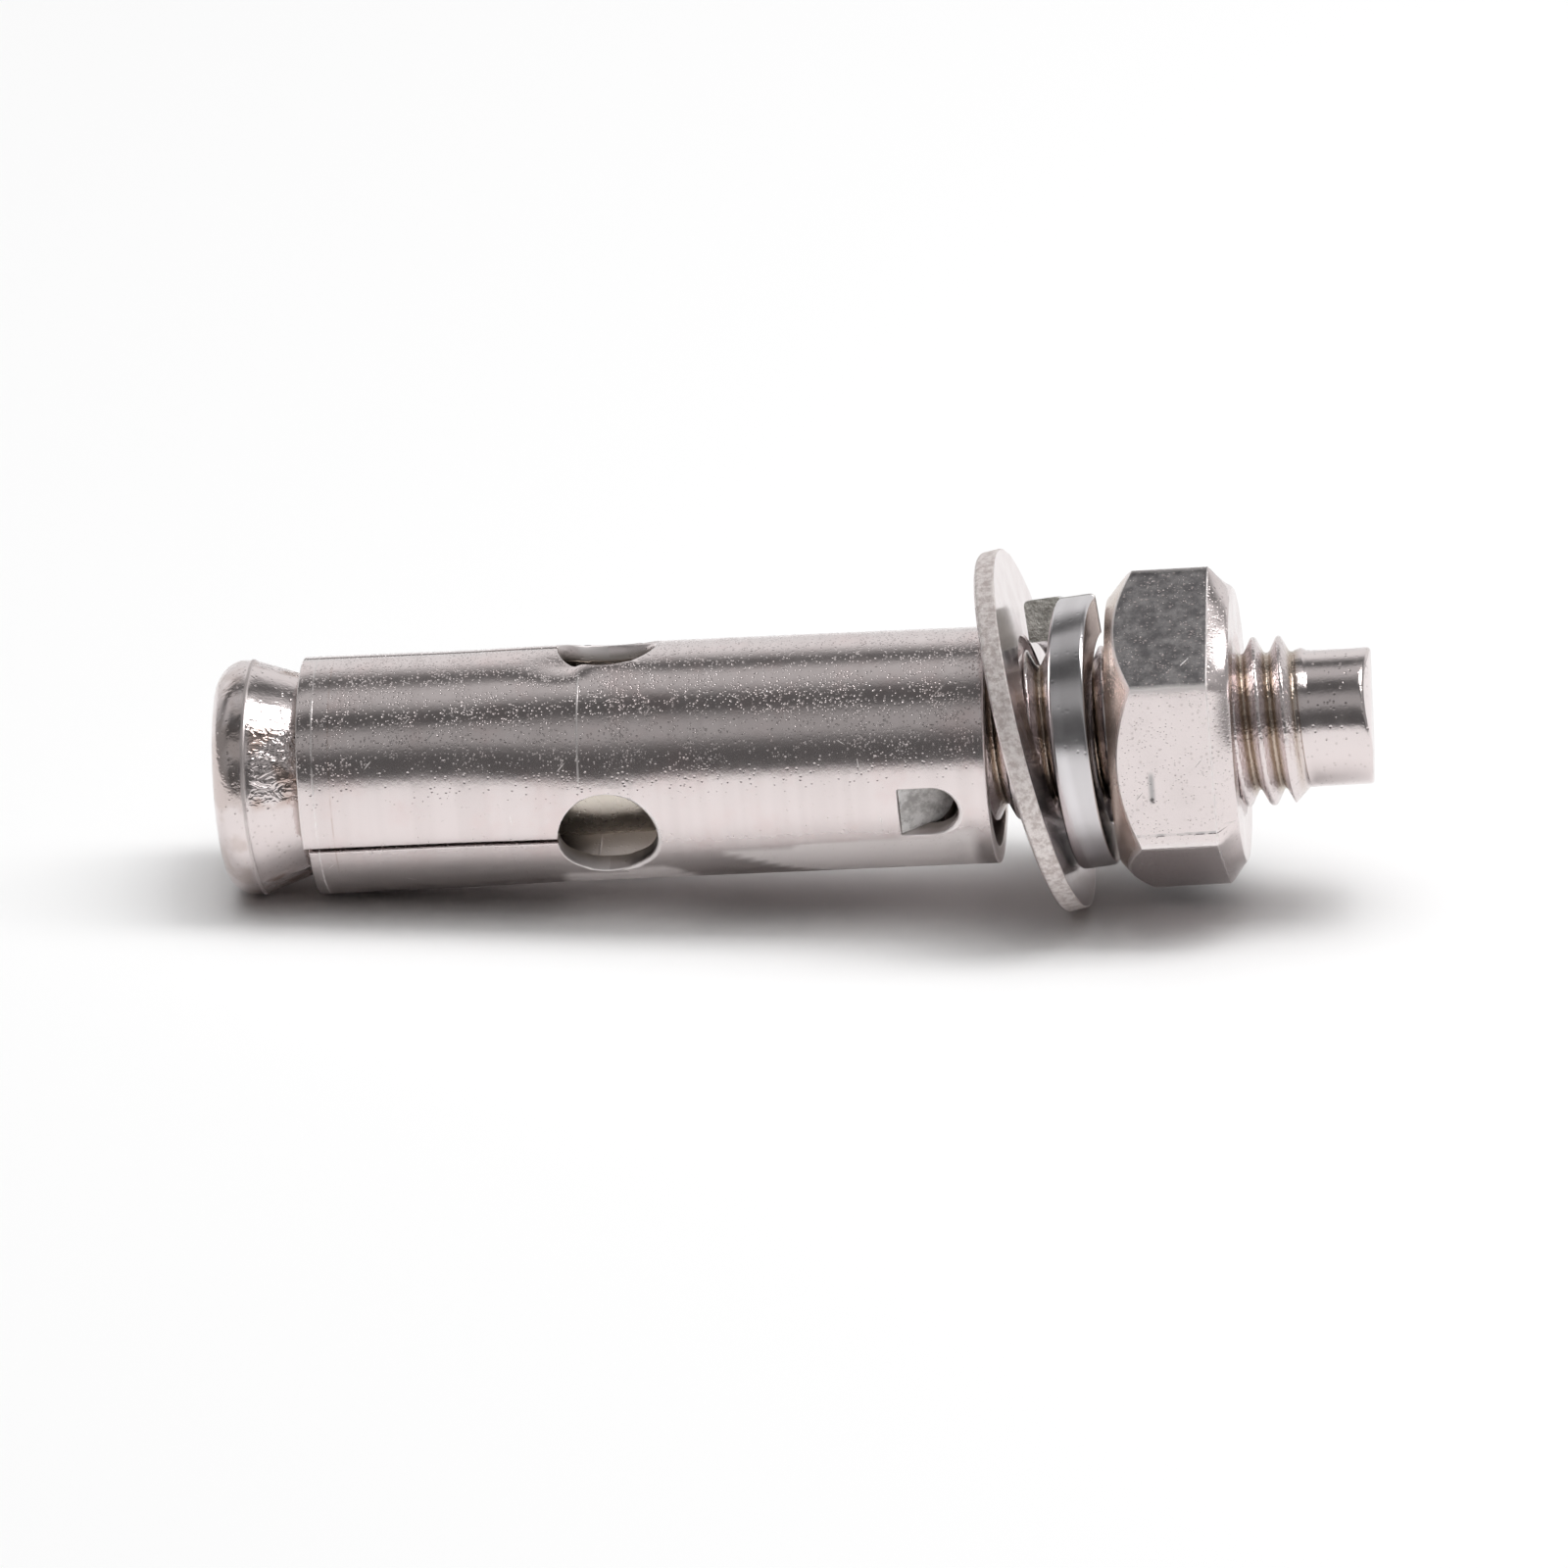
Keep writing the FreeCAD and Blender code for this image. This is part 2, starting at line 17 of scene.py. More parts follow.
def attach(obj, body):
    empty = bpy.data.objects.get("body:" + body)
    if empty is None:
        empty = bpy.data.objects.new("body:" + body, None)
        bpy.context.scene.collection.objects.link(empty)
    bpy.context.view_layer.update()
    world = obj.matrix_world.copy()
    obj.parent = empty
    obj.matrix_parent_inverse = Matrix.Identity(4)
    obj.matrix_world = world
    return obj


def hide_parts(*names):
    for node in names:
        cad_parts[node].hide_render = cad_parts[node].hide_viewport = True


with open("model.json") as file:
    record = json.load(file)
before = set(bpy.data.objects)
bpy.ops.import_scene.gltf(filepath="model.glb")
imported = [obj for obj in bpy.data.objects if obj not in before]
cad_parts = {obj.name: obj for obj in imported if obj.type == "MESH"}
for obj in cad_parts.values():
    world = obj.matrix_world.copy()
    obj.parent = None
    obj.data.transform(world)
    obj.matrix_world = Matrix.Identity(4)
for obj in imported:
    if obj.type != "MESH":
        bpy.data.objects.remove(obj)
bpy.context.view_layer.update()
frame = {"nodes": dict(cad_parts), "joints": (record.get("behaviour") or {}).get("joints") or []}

# %% [markdown]
# ## The bench
# Every piece is made on a bench whose unit is one millimetre, with the piece's own axis along X.
# Then it is moved to its place in one step. The stud's axis comes from the joint that the nut
# turns on, so nothing has to be fitted by eye.

# %% The stud's axis as a place
MILLIMETRE = 0.001
DEGREE = radians(1.0)
joints = {joint["name"]: joint for joint in frame["joints"]}
along = Vector(joints["nut_turn"]["axis"]).normalized()
across = Vector((0.0, 1.0, 0.0))
upright = along.cross(across).normalized()
axis_turn = Matrix((along, across, upright)).transposed().to_4x4()
ON_STUD = Matrix.Translation(joints["nut_turn"]["pos_m"]) @ axis_turn
TO_METRES = Matrix.Scale(MILLIMETRE, 4)
print("the axis climbs", round(asin(along.z) / DEGREE, 2), "degrees")


# %% Turning and leaning a place
def about_x(degrees):
    return Matrix.Rotation(radians(degrees), 4, "X")


def facing(turn):
    """Turn a piece so that its own Z points turn degrees above the near side."""
    return about_x(90.0 - turn)


def leaning(degrees, turn):
    """Lean a piece so that its side at turn moves towards the pilot end."""
    side = radians(turn)
    return Matrix.Rotation(radians(degrees), 4, Vector((0.0, sin(side), cos(side))))


def at_station(station):
    return ON_STUD @ Matrix.Translation((station * MILLIMETRE, 0.0, 0.0))


# %% Where each frame piece begins and ends on the axis
def stations(node):
    """Lowest and highest station of a frame piece, and its greatest radius, in millimetres."""
    to_axis = ON_STUD.inverted()
    points = [to_axis @ v.co / MILLIMETRE for v in frame["nodes"][node].data.vertices]
    radius = max(hypot(p.y, p.z) for p in points)
    return min(p.x for p in points), max(p.x for p in points), radius


reach = {node: stations(node) for node in frame["nodes"]}
for node, (low, high, radius) in reach.items():
    print(f"{node}: stations {low:.2f} to {high:.2f}, radius {radius:.2f}")

# %% [markdown]
# ## Helpers for the bench
# A turned piece starts as one point that is extruded along half of its section and then spun,
# as on a lathe. A threaded piece starts the same way but is driven along a helix. The helpers
# below only wrap the operators that a person would use by hand.


# %% Start, select and finish a piece
def lay_down_tools():
    if bpy.context.mode != "OBJECT":
        bpy.ops.object.mode_set(mode="OBJECT")
    bpy.ops.object.select_all(action="DESELECT")


def take(*pieces):
    """Select pieces, with the first one active."""
    lay_down_tools()
    for piece in pieces:
        piece.select_set(True)
    bpy.context.view_layer.objects.active = pieces[0]


@contextmanager
def editing(piece, choice="SELECT"):
    """Edit mode with everything or nothing selected, and object mode again afterwards."""
    take(piece)
    bpy.ops.object.mode_set(mode="EDIT")
    bpy.ops.mesh.select_all(action=choice)
    yield
    bpy.ops.object.mode_set(mode="OBJECT")


def use_modifier(piece, kind, **settings):
    take(piece)
    modifier = piece.modifiers.new(kind.title(), kind)
    for name, value in settings.items():
        setattr(modifier, name, value)
    bpy.ops.object.modifier_apply(modifier=modifier.name)


def close_seams(piece, gap=0.001):
    with editing(piece):
        bpy.ops.mesh.remove_doubles(threshold=gap)
        bpy.ops.mesh.normals_make_consistent(inside=False)


def join(*pieces):
    take(*pieces)
    bpy.ops.object.join()
    return pieces[0]


# %% Draw a section and spin it
def draw_section(name, points):
    """A chain of edges through (distance along X, radius) points, made by extruding one vertex."""
    points = list(points)
    lay_down_tools()
    bpy.ops.mesh.primitive_plane_add(size=1.0)
    piece = bpy.context.active_object
    piece.name = name
    with editing(piece):
        bpy.ops.mesh.select_mode(type="VERT")
        bpy.ops.mesh.merge(type="CENTER")
        bpy.ops.transform.translate(value=(points[0][0], 0.0, points[0][1]))
        for (x0, r0), (x1, r1) in zip(points, points[1:]):
            step = (x1 - x0, 0.0, r1 - r0)
            bpy.ops.mesh.extrude_vertices_move(TRANSFORM_OT_translate={"value": step})
    return piece


def spin_section(name, points, steps):
    piece = draw_section(name, points)
    with editing(piece):
        bpy.ops.mesh.spin(steps=steps, angle=tau, center=(0, 0, 0), axis=(1, 0, 0))
    close_seams(piece)
    return piece


def between(start, stop, count):
    """Points along a straight stretch, without its last one."""
    for i in range(count):
        share = i / count
        yield start[0] + (stop[0] - start[0]) * share, start[1] + (stop[1] - start[1]) * share


def round_corner(centre, radius, first, last, count):
    """Points on an arc of the section, angles measured from the radius direction towards +X."""
    for i in range(count + 1):
        angle = radians(first + (last - first) * i / count)
        yield centre[0] + radius * sin(angle), centre[1] + radius * cos(angle)


# %% Move vertices by a rule, bridge two rims
def reshape(piece, rule):
    """rule takes a bench point and returns where it goes."""
    for vertex in piece.data.vertices:
        vertex.co = rule(vertex.co)
    piece.data.update()


def off_axis(point):
    return hypot(point.y, point.z)


def with_radius(point, radius):
    now = off_axis(point)
    return Vector((point.x, point.y * radius / now, point.z * radius / now))


def bridge_rims(piece, low, high):
    """Join the two open rims that lie between two stations."""
    with editing(piece, "DESELECT"):
        bpy.ops.mesh.select_mode(type="EDGE")
        shape = bmesh.from_edit_mesh(piece.data)
        for rim in shape.edges:
            middle = (rim.verts[0].co.x + rim.verts[1].co.x) / 2
            if rim.is_boundary and low < middle < high:
                rim.select = True
        bmesh.update_edit_mesh(piece.data)
        bpy.ops.mesh.bridge_edge_loops()


def open_edges(piece):
    shape = bmesh.new()
    shape.from_mesh(piece.data)
    count = sum(1 for rim in shape.edges if not rim.is_manifold)
    shape.free()
    return count


# %% Lumps: forged and pressed metal is never quite true
def lumpy(point, size, depth, seed):
    """Push a bench point in or out, away from the axis, by smooth noise."""
    radius = off_axis(point)
    if radius < 0.01:
        return point.copy()
    lump = noise.noise(point / size + Vector((seed, seed * 2.0, seed * 3.0))) * depth
    return with_radius(point, radius + lump)


# %% Mark the mesh for its material
def mark(piece, name, rule):
    """Give every vertex a value that the piece's steel can read. rule takes a bench point."""
    marks = piece.data.attributes.new(name, "FLOAT", "POINT")
    for vertex, value in zip(piece.data.vertices, marks.data):
        value.value = rule(vertex.co)


# %% Put a finished piece in its place
def set_in_place(piece, steel, place, body, node, smooth_angle=30.0):
    """Move the bench mesh to its place, smooth it, and let it stand for its frame piece."""
    piece.data.materials.append(steel)
    take(piece)
    bpy.ops.object.shade_smooth_by_angle(angle=radians(smooth_angle))
    piece.matrix_world = place @ TO_METRES
    bpy.ops.object.transform_apply()
    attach(piece, body)
    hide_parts(node)
    low = [min(v.co[i] for v in piece.data.vertices) * 1000 for i in range(3)]
    high = [max(v.co[i] for v in piece.data.vertices) * 1000 for i in range(3)]
    faces = len(piece.data.polygons)
    print(f"{piece.name}: {faces} faces, {open_edges(piece)} open edges,", end=" ")
    print("box", [round(c, 2) for c in low], [round(c, 2) for c in high])


# %% [markdown]
# ## Camera
# The photograph was taken with a long lens a little above the table, almost square to the bolt
# and turned a touch to its right. The roll is real: the camera was not quite level.

# %% Camera
CAMERA_AZIMUTH = 3.81
CAMERA_ELEVATION = 20.5
CAMERA_ROLL = 0.45
CAMERA_DISTANCE = 1.5
CAMERA_AIM = Vector((-0.00063, 0.0, 0.00705))
LENS = 582.1


def hang(name, data, place):
    """Put a camera or a lamp at a place in the scene."""
    hung = bpy.data.objects.new(name, data)
    bpy.context.scene.collection.objects.link(hung)
    hung.location = place
    return hung


azimuth = radians(CAMERA_AZIMUTH)
elevation = radians(CAMERA_ELEVATION)
flat = cos(elevation)
towards_camera = Vector((sin(azimuth) * flat, -cos(azimuth) * flat, sin(elevation)))
camera_data = bpy.data.cameras.new("camera")
camera_data.lens = LENS
camera_data.clip_end = 50.0
camera = hang("camera", camera_data, CAMERA_AIM + towards_camera * CAMERA_DISTANCE)
level_view = (-towards_camera).to_track_quat("-Z", "Y").to_matrix()
roll = Matrix.Rotation(radians(-CAMERA_ROLL), 3, "Z")
camera.rotation_euler = (level_view @ roll).to_euler()
bpy.context.scene.camera = camera
bpy.context.scene.view_settings.view_transform = "Standard"

# %% [markdown]
# ## Table and studio
# Polished steel has hardly any colour of its own: it shows the room. The room here is a white
# table, a white wall behind it, and long strip lights with dark gaps between them, all parallel to
# the bolt. The strips are painted into the world by the height of a ray above the near horizon.
# One large lamp stands up on the right, where the cone and the chamfers catch it.

# %% White table
TABLE_SIZE = 8.0
TABLE_WHITE = 0.93

lay_down_tools()
bpy.ops.mesh.primitive_plane_add(size=TABLE_SIZE)
table = bpy.context.active_object
table.name = "table"
table_white = bpy.data.materials.new("table_white")
table_white.use_nodes = True
table_shader = table_white.node_tree.nodes["Principled BSDF"]
table_shader.inputs["Base Color"].default_value = (TABLE_WHITE, TABLE_WHITE, TABLE_WHITE, 1.0)
table_shader.inputs["Roughness"].default_value = 1.0
table_shader.inputs["Specular IOR Level"].default_value = 0.0
table.data.materials.append(table_white)

# %% Short calls for shader nodes
class Wiring:
    """Adds nodes to one tree. Each call returns the output that is wanted."""

    def __init__(self, tree):
        self.tree = tree

    def feed(self, socket, value):
        """Link another node's output, or set a colour, a direction or a number."""
        if isinstance(value, bpy.types.NodeSocket):
            self.tree.links.new(value, socket)
        elif socket.type == "RGBA":
            socket.default_value = (*value, 1.0)
        else:
            socket.default_value = value

    def node(self, kind, values=None, **settings):
        """values says what goes into which socket, settings are the node's own choices."""
        node = self.tree.nodes.new("ShaderNode" + kind)
        for name, value in settings.items():
            setattr(node, name, value)
        for socket, value in (values or {}).items():
            self.feed(node.inputs[socket], value)
        return node

    def maths(self, operation, *values):
        return self.node("Math", dict(enumerate(values)), operation=operation).outputs[0]

    def times(self, first, second):
        return self.maths("MULTIPLY", first, second)

    def plus(self, total, *layers):
        """Each layer is a value and its weight."""
        for value, weight in layers:
            total = self.maths("MULTIPLY_ADD", value, weight, total)
        return total

    def grey(self, value, low, high, first=0.0, last=1.0):
        """A soft ramp that goes from first to last while value goes from low to high."""
        stops = {"Value": value, "From Min": low, "From Max": high, "To Min": first, "To Max": last}
        return self.node("MapRange", stops, interpolation_type="SMOOTHSTEP").outputs["Result"]

    def blend(self, share, first, second):
        return self.node("Mix", {0: share, 6: first, 7: second}, data_type="RGBA").outputs[2]


# %% Strip lights and dark gaps: degrees above the near horizon, then the light's level
STRIPS = [
    (-180.0, 1.0), (-4.0, 1.0), (2.0, 0.60), (7.0, 0.11), (24.0, 0.10), (33.0, 0.17),
    (42.0, 0.40), (54.0, 0.40), (62.0, 0.26), (68.0, 0.10), (82.0, 0.11), (90.0, 0.34),
    (98.0, 0.54), (111.0, 0.56), (118.0, 0.22), (122.0, 0.13), (128.0, 0.13), (136.0, 0.42),
    (145.0, 0.82), (153.0, 0.88), (165.0, 0.84), (180.0, 0.78),
]
AMBIENT_TOP = 3.45
AMBIENT_POWER = 7.0
END_START = 0.55
END_FULL = 0.92
END_LEVEL = 0.30


def build_world():
    world = bpy.data.worlds.new("studio")
    bpy.context.scene.world = world
    world.use_nodes = True
    world.cycles.sampling_method = "NONE"
    room = Wiring(world.node_tree)
    room.tree.nodes.clear()
    coordinates = room.node("TexCoord")
    ray = room.node("SeparateXYZ", {0: coordinates.outputs["Generated"]}).outputs
    height = room.maths("ARCTAN2", ray["Z"], room.times(ray["Y"], -1.0))
    strips = room.node("ValToRGB", {"Fac": room.plus(0.5, (height, 1.0 / tau))})
    stops = strips.color_ramp.elements
    while len(stops) < len(STRIPS):
        stops.new(0.5)
    for stop, (degrees, level) in zip(stops, STRIPS):
        stop.position = (degrees + 180.0) / 360.0
        stop.color = (level, level, level, 1.0)
    ends = room.grey(room.maths("ABSOLUTE", ray["X"]), END_START, END_FULL)
    lit = room.blend(ends, strips.outputs["Color"], (END_LEVEL, END_LEVEL, END_LEVEL))
    path = room.node("LightPath").outputs
    mirrored = room.maths("MAXIMUM", path["Is Glossy Ray"], path["Is Transmission Ray"])
    overhead = room.maths("POWER", room.maths("MAXIMUM", ray["Z"], 0.0), AMBIENT_POWER)
    seen = room.blend(mirrored, room.times(overhead, AMBIENT_TOP), lit)
    seen = room.blend(path["Is Camera Ray"], seen, (1.0, 1.0, 1.0))
    background = room.node("Background", {"Color": seen})
    room.node("OutputWorld", {"Surface": background.outputs[0]})


build_world()

# %% The lamp up on the right
LAMP_DIRECTION = Vector((0.50, 0.07, 0.863)).normalized()
LAMP_DISTANCE = 0.7
LAMP_WIDTH = 0.25
LAMP_LENGTH = 0.60
LAMP_POWER = 2.0

lamp_data = bpy.data.lights.new("soft_box", "AREA")
lamp_data.shape = "RECTANGLE"
lamp_data.size = LAMP_WIDTH
lamp_data.size_y = LAMP_LENGTH
lamp_data.energy = LAMP_POWER
lamp = hang("soft_box", lamp_data, LAMP_DIRECTION * LAMP_DISTANCE)
lamp.rotation_euler = (-LAMP_DIRECTION).to_track_quat("-Z", "Y").to_euler()

# %% [markdown]
# ## Steel finishes
# All five pieces are stainless steel, but each was made in another way and looks it. They share
# four effects as node groups: the grain that tumbling leaves, short scratches, fine lines from
# rolling or drawing, and rough torn metal where a tool sheared it. Each group gives a height for
# the Bump node and a mask, and each steel mixes them in its own measure.

# %% Patterns, and the frame of a group
class Pattern(Wiring):
    """Wiring that knows a place, for textures."""

    def cloud(self, scale, detail=2.0, rough=0.5, swirl=0.0, place=None):
        values = {"Vector": place or self.place, "Scale": scale, "Detail": detail}
        values |= {"Roughness": rough, "Distortion": swirl}
        return self.node("TexNoise", values).outputs[0]

    def stretched(self, vector, scale):
        return self.node("VectorMath", {0: vector, 1: scale}, operation="MULTIPLY").outputs[0]

    def cells(self, vector, scale):
        """Scattered points: how far the nearest one is, and a random number that belongs to it."""
        points = self.node("TexVoronoi", {"Vector": vector, "Scale": scale}).outputs
        lot = self.node("SeparateColor", {0: points["Color"]})
        return points["Distance"], lot.outputs[0]


class Effect(Pattern):
    """A node group: a place and one size go in, a height and a mask come out."""

    def __init__(self, name, size, mask):
        super().__init__(bpy.data.node_groups.new(name, "ShaderNodeTree"))
        for socket, way, kind in (
            ("Place", "INPUT", "Vector"),
            (size, "INPUT", "Float"),
            ("Height", "OUTPUT", "Float"),
            (mask, "OUTPUT", "Float"),
        ):
            self.tree.interface.new_socket(name=socket, in_out=way, socket_type="NodeSocket" + kind)
        entry = self.tree.nodes.new("NodeGroupInput")
        self.place = entry.outputs[0]
        self.size = entry.outputs[1]

    def hand_over(self, height, mask):
        leave = self.tree.nodes.new("NodeGroupOutput")
        self.feed(leave.inputs[0], height)
        self.feed(leave.inputs[1], mask)
        return self.tree


# %% Tumbled grain: an orange-peel skin and small dings, crowded in some places
def tumbled_grain():
    grain = Effect("tumbled_grain", "Grain", "Dings")
    skin = grain.cloud(grain.size, 3.0, 0.6)
    few = grain.grey(grain.cloud(0.35), 0.35, 0.62, 0.80, 0.35)
    distance, lot = grain.cells(grain.place, grain.size)
    chosen = grain.maths("GREATER_THAN", lot, few)
    dings = grain.times(chosen, grain.grey(distance, 0.05, 0.38, 1.0, 0.0))
    return grain.hand_over(grain.plus(grain.times(skin, 0.8), (dings, -1.5)), dings)


# %% Scratches: short, straight and in three directions
SCRATCH_SLANTS = (0.55, -0.85, 1.45)
SCRATCH_STRETCH = (0.35, 4.0, 1.0)
SCRATCH_RARITY = 0.88


def scratches():
    """The place is laid out flat: along the axis, then round it."""
    marks = Effect("scratches", "Crowding", "Marks")
    total = 0.0
    for slant in SCRATCH_SLANTS:
        values = {"Vector": marks.place, "Angle": slant}
        turned = marks.node("VectorRotate", values, rotation_type="Z_AXIS").outputs[0]
        distance, lot = marks.cells(marks.stretched(turned, SCRATCH_STRETCH), marks.size)
        chosen = marks.maths("GREATER_THAN", lot, SCRATCH_RARITY)
        total = marks.plus(total, (chosen, marks.grey(distance, 0.03, 0.13, 1.0, 0.0)))
    return marks.hand_over(marks.times(total, -1.0), total)


# %% Fine lines across the axis, and torn metal
def fine_lines():
    drawn = Effect("fine_lines", "Spacing", "Streaks")
    along_only = drawn.stretched(drawn.place, (1.0, 0.04, 0.04))
    lines = drawn.cloud(drawn.size, 3.0, 0.7, place=along_only)
    streaks = drawn.cloud(drawn.times(drawn.size, 0.2), 1.0, place=along_only)
    return drawn.hand_over(lines, streaks)


def torn_metal():
    torn = Effect("torn_metal", "Coarseness", "Pits")
    tears = torn.cloud(torn.size, 5.0, 0.72)
    crumbs = torn.cloud(torn.times(torn.size, 3.1))
    pits = torn.grey(tears, 0.35, 0.62, 1.0, 0.0)
    return torn.hand_over(torn.plus(tears, (crumbs, 0.4)), pits)


TUMBLED = tumbled_grain()
SCRATCHES = scratches()
LINES = fine_lines()
TORN = torn_metal()
print("shared effects:", [group.name for group in (TUMBLED, SCRATCHES, LINES, TORN)])


# %% What every steel starts with: its piece's own coordinates
class Finish(Pattern):
    """One material's tree, with coordinates in millimetres along the piece's own axis."""

    def __init__(self, name, place):
        self.material = bpy.data.materials.new(name)
        self.material.use_nodes = True
        super().__init__(self.material.node_tree)
        self.shader = self.tree.nodes["Principled BSDF"].inputs
        self.shader["Metallic"].default_value = 1.0
        values = {
            "Vector": self.node("TexCoord").outputs["Object"],
            "Location": place.to_translation(),
            "Rotation": place.to_euler(),
            "Scale": (MILLIMETRE, MILLIMETRE, MILLIMETRE),
        }
        self.place = self.node("Mapping", values, vector_type="TEXTURE").outputs[0]
        parts = self.node("SeparateXYZ", {0: self.place}).outputs
        self.station = parts["X"]
        squares = self.plus(self.times(parts["Y"], parts["Y"]), (parts["Z"], parts["Z"]))
        self.radius = self.maths("SQRT", squares)
        self.turn = self.maths("ARCTAN2", parts["Y"], parts["Z"])

    def laid_flat(self, radius):
        """The piece's skin unrolled: distance along the axis, then round it."""
        values = {"X": self.station, "Y": self.times(self.turn, radius)}
        return self.node("CombineXYZ", values).outputs[0]

    def effect(self, group, size, place=None):
        node = self.node("Group", {0: place or self.place, 1: size}, node_tree=group)
        return node.outputs[0], node.outputs[1]

    def marked(self, name):
        return self.node("Attribute", attribute_name=name).outputs["Fac"]

    # Masks
    def near(self, value, middle, reach, core=0.0):
        """One within core of the middle, and nothing beyond reach."""
        off = self.maths("ABSOLUTE", self.maths("SUBTRACT", value, middle))
        return self.grey(off, core, reach, 1.0, 0.0)

    def span(self, value, start, full, fade, end):
        """Rises from start to full, and falls again from fade to end."""
        return self.times(self.grey(value, start, full), self.grey(value, fade, end, 1.0, 0.0))

    def towards(self, turn):
        """One on the side at turn, minus one on the side away from it."""
        return self.maths("COSINE", self.maths("SUBTRACT", self.turn, turn))

    # What goes into the shader
    def bump(self, height, depth):
        """depth is in millimetres for a height of one."""
        node = self.node("Bump", {"Height": height, "Distance": depth * MILLIMETRE})
        self.feed(self.shader["Normal"], node.outputs["Normal"])

    def paint(self, tone, *coats):
        """Lay coats over a tone. Each is the share that it covers and its colour."""
        for share, colour in coats:
            tone = self.blend(share, tone, colour)
        self.feed(self.shader["Base Color"], tone)

    def gloss(self, patches, low, high, *layers):
        """Roughness between low and high by a cloudy value, with more of it on the layers."""
        rough = self.plus(self.grey(patches, 0.3, 0.7, low, high), *layers)
        self.feed(self.shader["Roughness"], rough)

    def scattering(self, share, strength):
        """Torn metal throws light every way, so a share of it counts as matt."""
        self.feed(self.shader["Metallic"], self.plus(1.0, (share, -strength)))


# %% [markdown]
# ## Thread
# The thread is rolled, M10 with a pitch of 1.5 mm. One pitch of its section is drawn and driven
# along the helix with the Screw modifier. The crests are then trimmed by the lead-in at the
# pilot, and faded into the plain shank at the other end, as the rolling dies leave them.

# %% One pitch of the section
PITCH = 1.5
CREST_RADIUS = 5.0
ROOT_RADIUS = 4.03
CREST_PHASE = 0.485
THREAD_STEPS = 72
ROOT_FLAT = 0.09
CREST_FLAT = 0.09
EASING = 0.08


def thread_section(first_root, lift=0.0):
    """From one root to the next. lift moves the whole section outwards, for the nut's thread."""
    half = PITCH / 2
    shoulder = CREST_RADIUS - EASING
    foot = ROOT_RADIUS + EASING
    flank = half - CREST_FLAT - EASING
    points = [
        (0.0, ROOT_RADIUS),
        (ROOT_FLAT, ROOT_RADIUS + EASING / 5),
        (ROOT_FLAT + EASING, foot),
        (flank, shoulder),
        (half - CREST_FLAT, CREST_RADIUS - EASING / 5),
        (half, CREST_RADIUS),
    ]
    points += [(PITCH - x, r) for x, r in reversed(points[:-1])]
    return [(first_root + x, r + lift) for x, r in points]


# %% Drive a section along a helix, and cut the skin square at both ends
def drive(piece, angle, advance, turns, steps):
    helix = {"axis": "X", "angle": angle, "screw_offset": advance, "iterations": turns}
    use_modifier(piece, "SCREW", steps=steps, render_steps=steps, **helix)


def threaded(name, start, stop, lift=0.0):
    """A helical skin from start to stop, with crests on the stud's own phase."""
    turns_before = floor((start - CREST_PHASE) / PITCH) - 1
    first_root = CREST_PHASE + (turns_before - 0.5) * PITCH
    turns = ceil((stop - first_root) / PITCH) + 1
    piece = draw_section(name, thread_section(first_root, lift))
    drive(piece, tau, PITCH, turns, THREAD_STEPS)
    close_seams(piece)
    for station, keep_low in ((start, False), (stop, True)):
        with editing(piece):
            bpy.ops.mesh.bisect(
                plane_co=(station, 0, 0), plane_no=(1, 0, 0), clear_outer=keep_low, clear_inner=not keep_low
            )
    return piece


# %% [markdown]
# ## Stud
# One bar, upset at one end to a cone and rolled with a thread at the other. It is turned in two
# lengths, with the threaded skin bridged between them. The head's rim is round and the
# ridge where it meets the cone is crisp. The pilot was cropped, so its end face is wavy.

# %% Stud sizes
STUD_LENGTH = reach["cone_stud"][1]
HEAD_RADIUS = 6.975
RIM_ARC = 1.78
DOME = 0.4
HEAD_WIDTH = 2.67
RIDGE_EASE = 0.16
RIDGE_BEAD = 0.05
CONE_ANGLE = radians(19.5)
SHANK_RADIUS = 4.5
THREAD_START = 39.2
THREAD_END = 63.9
PILOT_START = 65.2
PILOT_EDGE = 0.22
SHEAR_TURN = 44.0
SHEAR_DEPTH = 0.45
FAR_DROP = 0.35
TURN_STEPS = 128

# %% Head, cone and shank
cone_end = HEAD_WIDTH + (HEAD_RADIUS - SHANK_RADIUS) / tan(CONE_ANGLE)
rim_ring = HEAD_RADIUS - RIM_ARC


def front_section():
    for i in range(8):
        yield DOME * (i / 8) ** 2, rim_ring * i / 8
    yield from round_corner((DOME + RIM_ARC, rim_ring), RIM_ARC, -83.0, -8.0, 12)
    yield HEAD_WIDTH - RIDGE_EASE, HEAD_RADIUS - RIDGE_BEAD / 2
    yield HEAD_WIDTH - RIDGE_EASE / 3, HEAD_RADIUS
    yield HEAD_WIDTH + RIDGE_EASE / 3, HEAD_RADIUS - RIDGE_BEAD / 5
    cone_top = HEAD_RADIUS - RIDGE_BEAD - RIDGE_EASE * tan(CONE_ANGLE)
    yield from between((HEAD_WIDTH + RIDGE_EASE, cone_top), (cone_end, SHANK_RADIUS), 24)
    yield from between((cone_end, SHANK_RADIUS), (THREAD_START - 0.1, SHANK_RADIUS), 30)
    yield THREAD_START - 0.1, SHANK_RADIUS


stud = spin_section("stud", front_section(), TURN_STEPS)

# %% Pilot with its cropped end
def end_section():
    edge = STUD_LENGTH - PILOT_EDGE
    yield PILOT_START + 0.1, ROOT_RADIUS
    yield from between((PILOT_START + 0.4, ROOT_RADIUS), (edge, ROOT_RADIUS), 8)
    yield from round_corner((edge, ROOT_RADIUS - PILOT_EDGE), PILOT_EDGE, 0.0, 90.0, 4)
    yield from between((STUD_LENGTH, ROOT_RADIUS - PILOT_EDGE - 0.2), (STUD_LENGTH, 0.0), 10)
    yield STUD_LENGTH, 0.0


